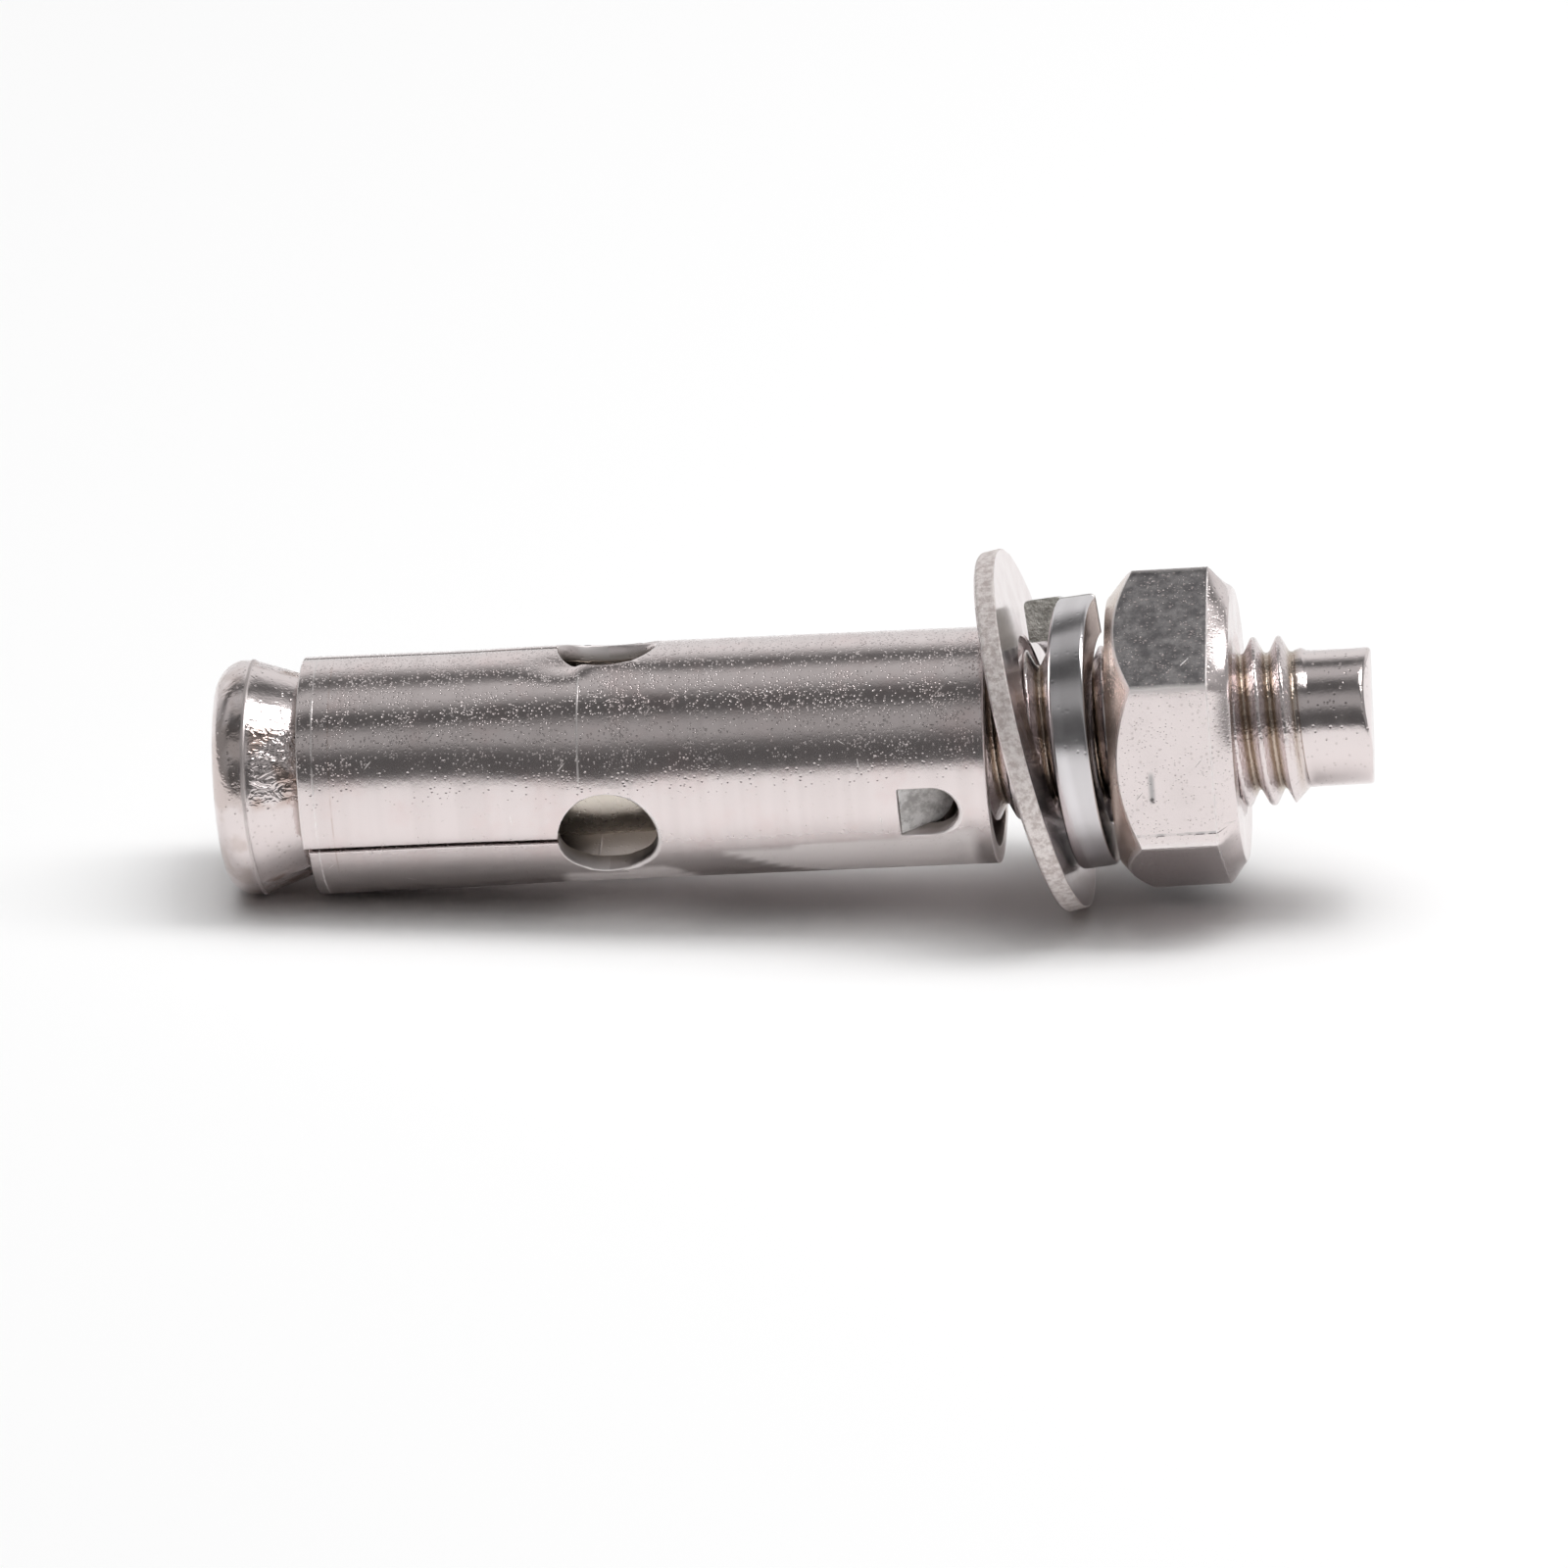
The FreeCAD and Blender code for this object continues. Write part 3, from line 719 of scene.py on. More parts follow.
pilot = spin_section("pilot", end_section(), TURN_STEPS)


def cropped_end(point):
    """The end drops towards the side at SHEAR_TURN and a little at the opposite side."""
    turned = (about_x(SHEAR_TURN - 90.0) @ point).z / ROOT_RADIUS
    if turned > 0.5:
        drop = SHEAR_DEPTH * ((turned - 0.5) / 0.5) ** 2
    else:
        drop = FAR_DROP * ((0.5 - turned) / 1.5) ** 0.8
    share = max(0.0, (point.x - PILOT_START - 1.0) / (STUD_LENGTH - PILOT_START - 1.0))
    return Vector((point.x - drop * share, point.y, point.z))


reshape(pilot, cropped_end)

# %% Thread skin, trimmed at the pilot and faded at the shank
LEAD_IN_LENGTH = PILOT_START - THREAD_END
FADE_LENGTH = 1.2


def trimmed_thread(point):
    radius = off_axis(point)
    into_lead = (point.x - THREAD_END) / LEAD_IN_LENGTH
    if into_lead > 0.0:
        share = max(0.0, 1.0 - into_lead)
        limit = ROOT_RADIUS + (CREST_RADIUS - ROOT_RADIUS) * share**1.6
        radius = min(radius, limit)
    fade = min(1.0, max(0.0, (point.x - THREAD_START) / FADE_LENGTH))
    radius = SHANK_RADIUS + (radius - SHANK_RADIUS) * fade
    return with_radius(point, radius)


skin = threaded("thread_skin", THREAD_START, PILOT_START)
reshape(skin, trimmed_thread)
stud = join(stud, skin, pilot)
bridge_rims(stud, THREAD_START - 0.2, THREAD_START + 0.05)
bridge_rims(stud, PILOT_START - 0.05, PILOT_START + 0.2)
close_seams(stud)
print("stud length", round(max(v.co.x for v in stud.data.vertices), 2), "open edges", open_edges(stud))

# %% Forged unevenness on the head and the cone
HEAD_LUMP = 0.07
CONE_LUMP = 0.05
RIDGE_WANDER = 0.2
RIDGE_TURN = 15.0


def forged(point):
    if point.x > cone_end:
        return point.copy()
    depth = HEAD_LUMP if point.x < HEAD_WIDTH - RIDGE_EASE else CONE_LUMP
    moved = lumpy(point, 2.2, depth, 5.0)
    turn = atan2(point.z, -point.y) - radians(RIDGE_TURN)
    nearness = max(0.0, 1.0 - abs(point.x - HEAD_WIDTH) / HEAD_WIDTH)
    moved.x -= RIDGE_WANDER * (1.0 + cos(2.0 * turn)) * nearness
    radius = hypot(moved.y, moved.z)
    limit = off_axis(point)
    return with_radius(moved, min(radius, limit)) if limit > 1.0 else moved


mark(stud, "worn", lambda p: 1.0 if abs(p.x - HEAD_WIDTH) < RIDGE_EASE * 0.8 else 0.0)
reshape(stud, forged)

# %% [markdown]
# ### The stud's steel
# Bright where it was turned, crinkled on the cone where the die pressed it, dull on the shank that
# the sleeve hides, and stained brown in the thread's grooves, where polishing never reaches. The
# groove mask is simply the distance from the axis. The ridge of the head is rubbed matt: its mark
# was made on the mesh before the lumps, so that it follows them.

# %% Stud steel
STEEL_LIGHT = (0.770, 0.695, 0.688)
STEEL_DARK = (0.62, 0.55, 0.54)
GROOVE_BROWN = (0.50, 0.41, 0.34)
SHANK_DULL = (0.68, 0.62, 0.55)
STAIN = (0.50, 0.37, 0.32)
RUBBED = (0.86, 0.81, 0.80)
RIDGE_RUBBED = (0.66, 0.60, 0.59)
HEAD_SMUDGE = (0.60, 0.51, 0.48)
CRINKLE = 15.0
CRINKLE_TURN = radians(-65.0)
CRINKLE_PATCHES = 4.0
FORGING = 5.0
FLECKS = 6.0


def stud_steel():
    steel = Finish("stud_steel", ON_STUD)
    height, dings = steel.effect(TUMBLED, 3.2)
    cone = steel.span(steel.station, HEAD_WIDTH - 0.2, HEAD_WIDTH + 0.3, 7.5, 9.5)
    around = steel.times(steel.maths("SUBTRACT", steel.turn, CRINKLE_TURN), CRINKLE_PATCHES)
    crinkled = steel.times(cone, steel.grey(steel.maths("COSINE", around), -0.15, 0.35, 0.06, 1.0))
    ripples = steel.cloud(1.15, 1.5, swirl=2.2, place=steel.stretched(steel.place, (0.8, 1.5, 1.5)))
    on_head = steel.grey(steel.station, HEAD_WIDTH - 0.6, HEAD_WIDTH - 0.2, 1.0, 0.0)
    forging = steel.cloud(0.7, 3.0, 0.55, swirl=1.0)
    in_thread = steel.span(
        steel.station, THREAD_START, THREAD_START + 1.0, PILOT_START - 1.0, PILOT_START - 0.3
    )
    flecks = steel.cloud(2.6, 2.0, 0.6)
    height = steel.plus(
        height,
        (ripples, steel.times(crinkled, CRINKLE)),
        (forging, steel.times(on_head, FORGING)),
        (flecks, steel.times(in_thread, FLECKS)),
    )
    steel.bump(height, 0.010)
    worn = steel.marked("worn")
    blotches = steel.cloud(0.45, 3.0)
    dull = steel.span(steel.station, 9.0, 12.0, THREAD_START - 1.0, THREAD_START)
    steel.paint(
        STEEL_LIGHT,
        (dings, STEEL_DARK),
        (steel.times(crinkled, steel.grey(blotches, 0.46, 0.58, 0.0, 0.75)), STAIN),
        (steel.times(on_head, steel.grey(blotches, 0.42, 0.60, 0.0, 0.7)), HEAD_SMUDGE),
        (dull, SHANK_DULL),
        (steel.times(steel.grey(steel.radius, 4.06, 4.60, 1.0, 0.0), in_thread), GROOVE_BROWN),
        (worn, RIDGE_RUBBED),
    )
    steel.gloss(steel.cloud(0.8, 3.0), 0.10, 0.20, (in_thread, 0.08), (dull, 0.12), (worn, 0.30))
    return steel.material


set_in_place(stud, stud_steel(), ON_STUD, "stud", "cone_stud")

# %% [markdown]
# ## Sleeve
# The real sleeve is stamped flat and then rolled, and it is made the same way here. A flat strip
# gets its slots, round holes and window by Boolean cuts, its edges are eased while it is still
# flat, it is scored into narrow lanes so that it can bend, and then a rule rolls it into a tube.
# Its two long edges meet as the seam and the third slot.

# %% Sleeve sizes
MOUTH = 5.63
SLEEVE_LENGTH = 40.8
SLEEVE_RADIUS = 7.0
WALL = 1.0
SLOT_WIDTH = 0.25
SLOT_LENGTH = 18.08
HOLE_LENGTH = 5.83
HOLE_GIRTH = 6.07
HOLE_TURNS = (-120.0, 0.0, 120.0, 240.0)
SLOT_TURN = -21.0
SHORT_STEP = 0.3
WINDOW_LENGTH = 3.46
WINDOW_START = SLEEVE_LENGTH - 1.88 - WINDOW_LENGTH
WINDOW_WIDTH = 3.26
WINDOW_TURN = 7.5
SHEET_EASE = 0.09
SLEEVE_LEAN = 1.2640
TAB_TURN = SLOT_TURN + WINDOW_TURN


def girth_at(degrees):
    return SLEEVE_RADIUS * radians(degrees)


# %% The flat strip
def block(x0, x1, y0, y1, thickness):
    lay_down_tools()
    place = ((x0 + x1) / 2, (y0 + y1) / 2, -WALL / 2)
    bpy.ops.mesh.primitive_cube_add(size=1.0, location=place, scale=(x1 - x0, y1 - y0, thickness))
    return bpy.context.active_object


strip_low = girth_at(-120.0) + SLOT_WIDTH / 2
strip_high = girth_at(240.0) - SLOT_WIDTH / 2
sleeve = block(0.0, SLEEVE_LENGTH, strip_low, strip_high, WALL)
sleeve.name = "sleeve"
bpy.ops.object.transform_apply()


# %% Cutters
THROUGH = WALL * 3


def punch(piece, cutter):
    use_modifier(piece, "BOOLEAN", operation="DIFFERENCE", object=cutter, solver="EXACT")
    bpy.data.objects.remove(cutter)


def round_cutter(x, y, length, width, depth=THROUGH):
    lay_down_tools()
    bpy.ops.mesh.primitive_cylinder_add(vertices=64, radius=0.5, depth=depth, location=(x, y, -WALL / 2))
    cutter = bpy.context.active_object
    cutter.scale = (length, width, 1.0)
    bpy.ops.object.transform_apply()
    return cutter


def d_piece(start, length, width, y, depth=THROUGH):
    """A D, straight across at its start and round at its far end."""
    middle = start + length - width / 2
    piece = round_cutter(middle, y, width, width, depth)
    reshape(piece, lambda p: Vector((start, p.y, p.z)) if p.x < middle - 1e-4 else p.copy())
    return piece


# %% Punch the round holes and the window, and roll their rims over on the side where the die pulled
RIM_EASE = 0.36
RIM_LEAST = 0.22
TOUCH = 1e-3


def roll_rims(piece):
    """Bevel the outer rims of the holes, widely at their far side and narrowly at their near one."""
    weights = piece.data.attributes.new("bevel_weight_edge", "FLOAT", "EDGE")
    points = [v.co for v in piece.data.vertices]
    walls = {}
    for face in piece.data.polygons:
        for key in face.edge_keys:
            walls.setdefault(key, []).append(face.normal.z)
    for edge, weight in zip(piece.data.edges, weights.data):
        a, b = (points[i] for i in edge.vertices)
        on_border = any(max(abs(a.y - y), abs(b.y - y)) < TOUCH for y in (strip_low, strip_high))
        on_end = any(max(abs(a.x - x), abs(b.x - x)) < TOUCH for x in (0.0, SLEEVE_LENGTH))
        if max(abs(a.z), abs(b.z)) > 1e-4 or on_border or on_end or min(walls[edge.key]) > 0.5:
            continue
        x = (a.x + b.x) / 2
        if x > WINDOW_START - 1.0:
            past_middle = (x - WINDOW_START - WINDOW_LENGTH + WINDOW_WIDTH / 2) / (WINDOW_WIDTH / 2)
        else:
            past_middle = (x - SLOT_LENGTH) / (HOLE_LENGTH / 2)
        weight.value = RIM_LEAST + (1.0 - RIM_LEAST) * max(0.0, past_middle)
    use_modifier(piece, "BEVEL", width=RIM_EASE, segments=4, limit_method="WEIGHT", use_clamp_overlap=False)


for degrees in HOLE_TURNS:
    punch(sleeve, round_cutter(SLOT_LENGTH, girth_at(degrees), HOLE_LENGTH, HOLE_GIRTH))
punch(sleeve, d_piece(WINDOW_START, WINDOW_LENGTH, WINDOW_WIDTH, girth_at(WINDOW_TURN)))
close_seams(sleeve)
roll_rims(sleeve)
print("holes punched:", len(sleeve.data.polygons), "faces,", open_edges(sleeve), "open edges")

# %% Then the slots
for degrees in (0.0, 120.0):
    middle = girth_at(degrees)
    punch(sleeve, block(-1.0, SLOT_LENGTH, middle - SLOT_WIDTH / 2, middle + SLOT_WIDTH / 2, THROUGH))
punch(sleeve, block(-1.0, SHORT_STEP, strip_low - 1.0, 0.0, THROUGH))
close_seams(sleeve)
print("strip", round(strip_high - strip_low, 2), "wide,", open_edges(sleeve), "open edges after punching")

# %% Ease the edges, then score the strip into lanes
def ease_edges(piece, segments, **settings):
    """A bevel on every edge that bends by more than 40 degrees."""
    sharp = {"limit_method": "ANGLE", "angle_limit": radians(40.0)}
    use_modifier(piece, "BEVEL", width=SHEET_EASE, segments=segments, **sharp, **settings)


ease_edges(sleeve, 3, use_clamp_overlap=False)
LANE = 0.46
ROW = 0.7
SCORE_GAP = 0.00001


def score(piece, across, low, high, step):
    """Cut the piece into lanes that lie side by side along across."""
    count = round((high - low) / step)
    with editing(piece):
        for i in range(1, count):
            place = across * (low + (high - low) * i / count)
            bpy.ops.mesh.select_all(action="SELECT")
            bpy.ops.mesh.bisect(plane_co=place, plane_no=across, threshold=0.001)


score(sleeve, Vector((0.0, 1.0, 0.0)), strip_low, strip_high, LANE)
score(sleeve, Vector((1.0, 0.0, 0.0)), 0.0, SLEEVE_LENGTH, ROW)
close_seams(sleeve, SCORE_GAP)
FINGERS_END = SLOT_LENGTH - HOLE_LENGTH / 2


def on_rubbed_edge(point):
    """One on the eased edges, but not along the slots, which stay dark."""
    on_edge = -1.3 * SHEET_EASE < point.z < -0.004
    return 1.0 if on_edge and not 0.2 < point.x < FINGERS_END else 0.0


mark(sleeve, "worn", on_rubbed_edge)
print("scored strip:", len(sleeve.data.polygons), "faces,", open_edges(sleeve), "open edges")

# %% Roll it, and bend the fingers out at the crease
CREASE = 16.7
SPLAY = 0.05
LIP_RISE = 0.07
LIP_REACH = 1.3
FINGER_RIDGE = 0.22
FINGER_RIDGE_WIDTH = radians(24.0)
FINGER_RIDGE_RUN = 9.0
DENT_STATION = 16.2
DENT_TURN = radians(100.0)
DENT_DEPTH = 0.38
DENT_RUN = 2.2
DENT_STOP = 0.55
DENT_GIRTH = 1.5


def eased(share):
    share = min(1.0, max(0.0, share))
    return share * share * (3.0 - 2.0 * share)


def rolled(point):
    """Roll a point of the flat strip into the tube, with its creases, its dent and its lips."""
    turn = point.y / SLEEVE_RADIUS
    rise = point.z
    if point.x < CREASE:
        rise += SPLAY * (CREASE - point.x) / CREASE
        off_middle = turn % radians(120.0) - radians(60.0)
        strength = eased((CREASE - point.x) / FINGER_RIDGE_RUN)
        rise += FINGER_RIDGE * strength * (exp(-((off_middle / FINGER_RIDGE_WIDTH) ** 2)) - 0.5)
    if turn < radians(120.0):
        run = DENT_RUN if point.x < DENT_STATION else DENT_STOP
        off_side = SLEEVE_RADIUS * (turn - DENT_TURN) / DENT_GIRTH
        off_dent = hypot((point.x - DENT_STATION) / run, off_side)
        rise -= DENT_DEPTH * exp(-off_dent * off_dent)
    for degrees in HOLE_TURNS:
        away = abs(point.y - girth_at(degrees)) - HOLE_GIRTH / 2
        beside = abs(point.x - SLOT_LENGTH) / (HOLE_LENGTH / 2)
        if away > -0.3 and beside < 1.2:
            rise += LIP_RISE * exp(-max(away, 0.0) / LIP_REACH) * max(0.0, 1.0 - (beside / 1.2) ** 2)
    radius = SLEEVE_RADIUS + rise
    return Vector((point.x, radius * sin(turn), radius * cos(turn)))


reshape(sleeve, rolled)

# %% The tab, pressed in until its tip touches the stud
TAB_THICKNESS = 0.8
TAB_KERF = 0.1
TAB_BEND = 28.5
TAB_ROOT = 0.15
TAB_HEIGHT = 6.3

tab_length = WINDOW_LENGTH - TAB_KERF + TAB_ROOT
tab = d_piece(-TAB_ROOT, tab_length, WINDOW_WIDTH - 2 * TAB_KERF, 0.0, TAB_THICKNESS)
reshape(tab, lambda p: Vector((p.x, p.y, p.z + WALL / 2)))
ease_edges(tab, 2)
tab_place = about_x(-WINDOW_TURN) @ Matrix.Translation((WINDOW_START, 0.0, TAB_HEIGHT))
tab_place = tab_place @ Matrix.Rotation(radians(TAB_BEND), 4, "Y")
reshape(tab, lambda p: tab_place @ p)
mark(tab, "tab", lambda p: 1.0)
sleeve = join(sleeve, tab)

# %% [markdown]
# ### The sleeve's steel
# Cold-rolled sheet: bright, with faint lines across the axis, crowds of small dings from the
# tumbling barrel and short scratches. Two fine lines run round it near its mouth, where a stop
# marked the strip, and one more where the fingers were bent. The cut edges are rubbed pale, the
# lower side is painted darker as painted shade and is rougher, the tab is grey where the punch
# tore it, and the inside is dull, because nothing polishes it.

# %% Sleeve steel
SLEEVE_PLACE = at_station(MOUTH) @ leaning(-SLEEVE_LEAN, TAB_TURN) @ facing(SLOT_TURN)
STOP_LINE = 0.93
RUST_LINE = 1.92
CROWD_TURN = radians(84.0)
CROWD_EDGE = (0.86, 1.12)
CROWD_GRAINS = (4.6, 6.6)
# Where the painted shade on the lower side begins and ends, in radians of turn; the rougher strip on that
# side starts at the same place
UNDER_START = (-1.57, -1.05)
PAINTED_SHADE_END = (-0.35, -0.07)
RUBBED_END = (-0.15, 0.10)
BLUSH = (0.74, 0.62, 0.61)
UNDER_PAINTED_SHADE = (0.56, 0.51, 0.50)
INSIDE_DULL = (0.50, 0.45, 0.42)
TAB_GREY = (0.68, 0.66, 0.65)
TAB_DARK = (0.38, 0.36, 0.35)


def sleeve_steel():
    steel = Finish("sleeve_steel", SLEEVE_PLACE)
    height, dings = steel.effect(TUMBLED, 3.6)
    lines, streaks = steel.effect(LINES, 6.0)
    scratch_height, scratch_marks = steel.effect(SCRATCHES, 0.8, steel.laid_flat(SLEEVE_RADIUS))
    crowd = steel.plus(steel.towards(CROWD_TURN), (steel.cloud(0.22), 0.5))
    peened = 0.0
    for grain in CROWD_GRAINS:
        peened = steel.maths("MAXIMUM", steel.effect(TUMBLED, grain)[1], peened)
    peened = steel.times(peened, steel.grey(crowd, *CROWD_EDGE))
    broken = steel.grey(steel.cloud(0.9), 0.38, 0.55, 0.25, 1.0)
    stop_line = steel.times(steel.near(steel.station, STOP_LINE, 0.09), broken)
    rust_line = steel.times(steel.near(steel.station, RUST_LINE, 0.08), broken)
    three_slots = steel.maths("COSINE", steel.times(steel.turn, 3.0))
    between_slots = steel.grey(three_slots, -0.4, 0.3, 1.0, 0.0)
    crease = steel.times(steel.near(steel.station, CREASE, 0.10), between_slots)
    creased = steel.maths("ADD", stop_line, crease)
    height = steel.plus(height, (lines, 0.30), (scratch_height, 1.2), (peened, -2.2), (creased, 1.6))
    steel.bump(height, 0.008)
    # painted shade: the sleeve's lower side is darkened by its turn round the axis
    painted_shade_under = steel.span(steel.turn, *UNDER_START, *PAINTED_SHADE_END)
    rubbed = steel.span(steel.turn, *UNDER_START, *RUBBED_END)
    inside = steel.grey(steel.radius, 6.35, 6.75, 1.0, 0.0)
    tab = steel.marked("tab")
    pits = steel.effect(TORN, 1.2)[1]
    pale = steel.maths("MAXIMUM", steel.marked("worn"), steel.maths("MAXIMUM", creased, scratch_marks))
    steel.paint(
        STEEL_LIGHT,
        (steel.grey(streaks, 0.35, 0.7, 0.0, 0.22), STEEL_DARK),
        (steel.grey(steel.cloud(0.30, 4.0, 0.65), 0.45, 0.70, 0.0, 0.6), BLUSH),
        (steel.times(rust_line, 0.45), STAIN),
        # painted shade on the sleeve's lower side
        (painted_shade_under, UNDER_PAINTED_SHADE),
        (inside, INSIDE_DULL),
        (tab, steel.blend(pits, TAB_GREY, TAB_DARK)),
        (pale, RUBBED),
    )
    rougher = (dings, 0.10), (rubbed, 0.17), (peened, 0.20), (inside, 0.14), (tab, 0.28), (pale, 0.26)
    steel.gloss(streaks, 0.14, 0.19, *rougher)
    steel.scattering(tab, 0.4)
    return steel.material


set_in_place(sleeve, sleeve_steel(), SLEEVE_PLACE, "sleeve", "expansion_sleeve", 35.0)

# %% [markdown]
# ## Flat washer
# Stamped from sheet: the punch rolls one rim over and tears the rest of the edge, so the rim has
# a bright round band and a rough one. It leans on the sleeve's end and on the spring washer.

# %% Washer
WASHER_RADIUS = 10.94
WASHER_HOLE = 5.6
WASHER_HALF = 0.64
WASHER_ROLL = 0.3
WASHER_BURR = 0.06
WASHER_STEPS = 160


def washer_section():
    low = -WASHER_HALF
    high = WASHER_HALF
    yield low, WASHER_HOLE + 0.1
    yield from between((low, WASHER_HOLE + 0.5), (low, WASHER_RADIUS - WASHER_ROLL - 0.3), 6)
    yield from round_corner((low + WASHER_ROLL, WASHER_RADIUS - WASHER_ROLL), WASHER_ROLL, -90.0, 0.0, 6)
    yield from between((low + WASHER_ROLL + 0.1, WASHER_RADIUS), (high - WASHER_BURR, WASHER_RADIUS), 5)
    yield high - WASHER_BURR, WASHER_RADIUS
    yield high, WASHER_RADIUS - WASHER_BURR
    yield from between((high, WASHER_RADIUS - 0.4), (high, WASHER_HOLE + 0.3), 6)
    yield high, WASHER_HOLE + 0.1
    yield high - 0.1, WASHER_HOLE
    yield low + 0.1, WASHER_HOLE
    yield low, WASHER_HOLE + 0.1


washer = spin_section("washer", washer_section(), WASHER_STEPS)


def sheared_rim(point):
    radius = off_axis(point)
    if radius < WASHER_RADIUS - 0.1:
        return point.copy()
    tear = 0.04 * noise.noise(point * 1.6) - 0.03
    return with_radius(point, radius + min(0.0, tear))


reshape(washer, sheared_rim)

# %% Where it leans
washer_joint = joints["washer_tilt"]
washer_lean = washer_joint["range_deg"][1]
washer_low, washer_high, _ = reach["flat_washer"]
WASHER_RISE = 0.23
washer_station = (washer_low + washer_high) / 2
WASHER_PLACE = at_station(washer_station) @ Matrix.Translation((0.0, 0.0, WASHER_RISE * MILLIMETRE))
WASHER_PLACE = WASHER_PLACE @ leaning(-washer_lean, 90.0)

RIM_LIGHT = (0.86, 0.80, 0.78)
RIM_DARK = (0.58, 0.50, 0.48)


def washer_steel():
    steel = Finish("washer_steel", WASHER_PLACE)
    height, dings = steel.effect(TUMBLED, 3.5)
    tears, pits = steel.effect(TORN, 2.4)
    rim = steel.grey(steel.radius, WASHER_RADIUS - 0.12, WASHER_RADIUS - 0.05)
    steel.bump(steel.plus(steel.times(height, 0.6), (steel.times(tears, rim), 5.0)), 0.010)
    steel.paint(STEEL_LIGHT, (dings, STEEL_DARK), (rim, steel.blend(pits, RIM_LIGHT, RIM_DARK)))
    steel.gloss(steel.cloud(0.6, 3.0), 0.16, 0.26, (rim, 0.30))
    steel.scattering(rim, 0.45)
    return steel.material


set_in_place(washer, washer_steel(), WASHER_PLACE, "washer", "flat_washer", 40.0)

# %% [markdown]
# ## Spring washer
# One turn of rectangular wire, coiled and cropped, so that its two ends stand apart. The section
# is drawn with eased corners and driven round with the Screw modifier by a little less than one
# turn; then each end is filled and left rough.

# %% Spring washer
SPRING_OUTER = 8.1
SPRING_INNER = 5.6
SPRING_WIRE = 2.27
SPRING_EASE = 0.3
SPRING_PITCH = 2.22
SPRING_GAP = 5.3
SPRING_TURN = 105.0
SPRING_LEAN = 7.2
SPRING_LEAN_TURN = -117.6
SPRING_STEPS = 150


def spring_section():
    outer = SPRING_OUTER - SPRING_EASE
    yield from round_corner((SPRING_EASE, outer), SPRING_EASE, -90.0, 0.0, 5)
    yield from round_corner((SPRING_WIRE - SPRING_EASE, outer), SPRING_EASE, 0.0, 90.0, 5)
    yield SPRING_WIRE, SPRING_INNER + 0.12
    yield SPRING_WIRE - 0.12, SPRING_INNER
    yield 0.12, SPRING_INNER
    yield 0.0, SPRING_INNER + 0.12
    yield next(round_corner((SPRING_EASE, outer), SPRING_EASE, -90.0, 0.0, 5))


spring = draw_section("spring", spring_section())
close_seams(spring)
spring_turns = (360.0 - SPRING_GAP) / 360.0
drive(spring, -tau * spring_turns, SPRING_PITCH * spring_turns, 1, SPRING_STEPS)
with editing(spring, "DESELECT"):
    bpy.ops.mesh.select_mode(type="EDGE")
    bpy.ops.mesh.select_non_manifold(extend=False)
    bpy.ops.mesh.edge_face_add()
    bpy.ops.mesh.select_all(action="SELECT")
    bpy.ops.mesh.normals_make_consistent(inside=False)
print("spring: ends filled,", open_edges(spring), "open edges")


def at_crop(point):
    """One on the two cropped ends: the section starts at a turn of zero and stops short of it."""
    turn = atan2(point.y, point.z) / DEGREE % 360.0
    off = min(abs(turn - end) for end in (0.0, 360.0, SPRING_GAP, 360.0 - SPRING_GAP))
    return 1.0 if off < 0.3 else 0.0


mark(spring, "cropped", at_crop)
print("vertices on the cropped ends:", sum(1 for v in spring.data.vertices if at_crop(v.co)))

# %% Where the spring washer leans
spring_middle = (SPRING_PITCH + SPRING_WIRE) / 2
spring_turned = leaning(SPRING_LEAN, SPRING_LEAN_TURN) @ facing(SPRING_TURN)
spring_turned = spring_turned @ Matrix.Translation((-spring_middle * MILLIMETRE, 0.0, 0.0))
leftmost = min((spring_turned @ (v.co * MILLIMETRE)).x for v in spring.data.vertices) / MILLIMETRE
spring_station = reach["spring_washer"][0] - leftmost
SPRING_PLACE = at_station(spring_station) @ spring_turned
print("the spring washer's middle stands at station", round(spring_station, 2))

SPRING_LIGHT = (0.725, 0.70, 0.715)
SPRING_DARK = (0.62, 0.595, 0.605)
CROPPED_LIGHT = (0.80, 0.79, 0.74)
CROPPED_DARK = (0.48, 0.47, 0.43)


def spring_steel():
    steel = Finish("spring_steel", SPRING_PLACE)
    height = steel.effect(TUMBLED, 2.6)[0]
    tears, pits = steel.effect(TORN, 1.3)
    lines, streaks = steel.effect(LINES, 5.0)
    cropped = steel.marked("cropped")
    torn = steel.times(tears, cropped)
    steel.bump(steel.plus(steel.times(height, 0.6), (lines, 0.8), (torn, 70.0)), 0.004)
    steel.paint(
        SPRING_LIGHT,
        (steel.grey(streaks, 0.3, 0.7, 0.0, 0.8), SPRING_DARK),
        (cropped, steel.blend(pits, CROPPED_LIGHT, CROPPED_DARK)),
    )
    steel.gloss(steel.cloud(0.7, 3.0), 0.14, 0.22, (cropped, 0.40))
    steel.scattering(cropped, 0.5)
    return steel.material


set_in_place(spring, spring_steel(), SPRING_PLACE, "spring", "spring_washer", 40.0)

# %% [markdown]
# ## Nut
# Forged from a round slug. The blank is turned first; then a rule presses it into the
# hexagon, with the cone-shaped chamfer on its bearing side and the crown drawn in to a circle on
# its outer side. The thread inside is the stud's own section, lifted by the clearance. Two opposite
# flats are painted dark and mottled, a painted reflection of a dark part of the room, and another has a
# dent and a rubbed line.

# %% Nut sizes
NUT_FLAT = 8.5
NUT_HEIGHT = 7.36
NUT_FACE = 7.86
NUT_CHAMFER = tan(radians(41.0))
CROWN_RADIUS = 8.15
CROWN_HEIGHT = 1.23
CROWN_BULGE = 1.15
NUT_MOUTH = 5.5
NUT_TURN = 4.0
NUT_DROP = 0.1
NUT_STEPS = 192
CORNER_ROUND = 0.006
THREAD_CLEARANCE = 0.15
SIXTH = pi / 3


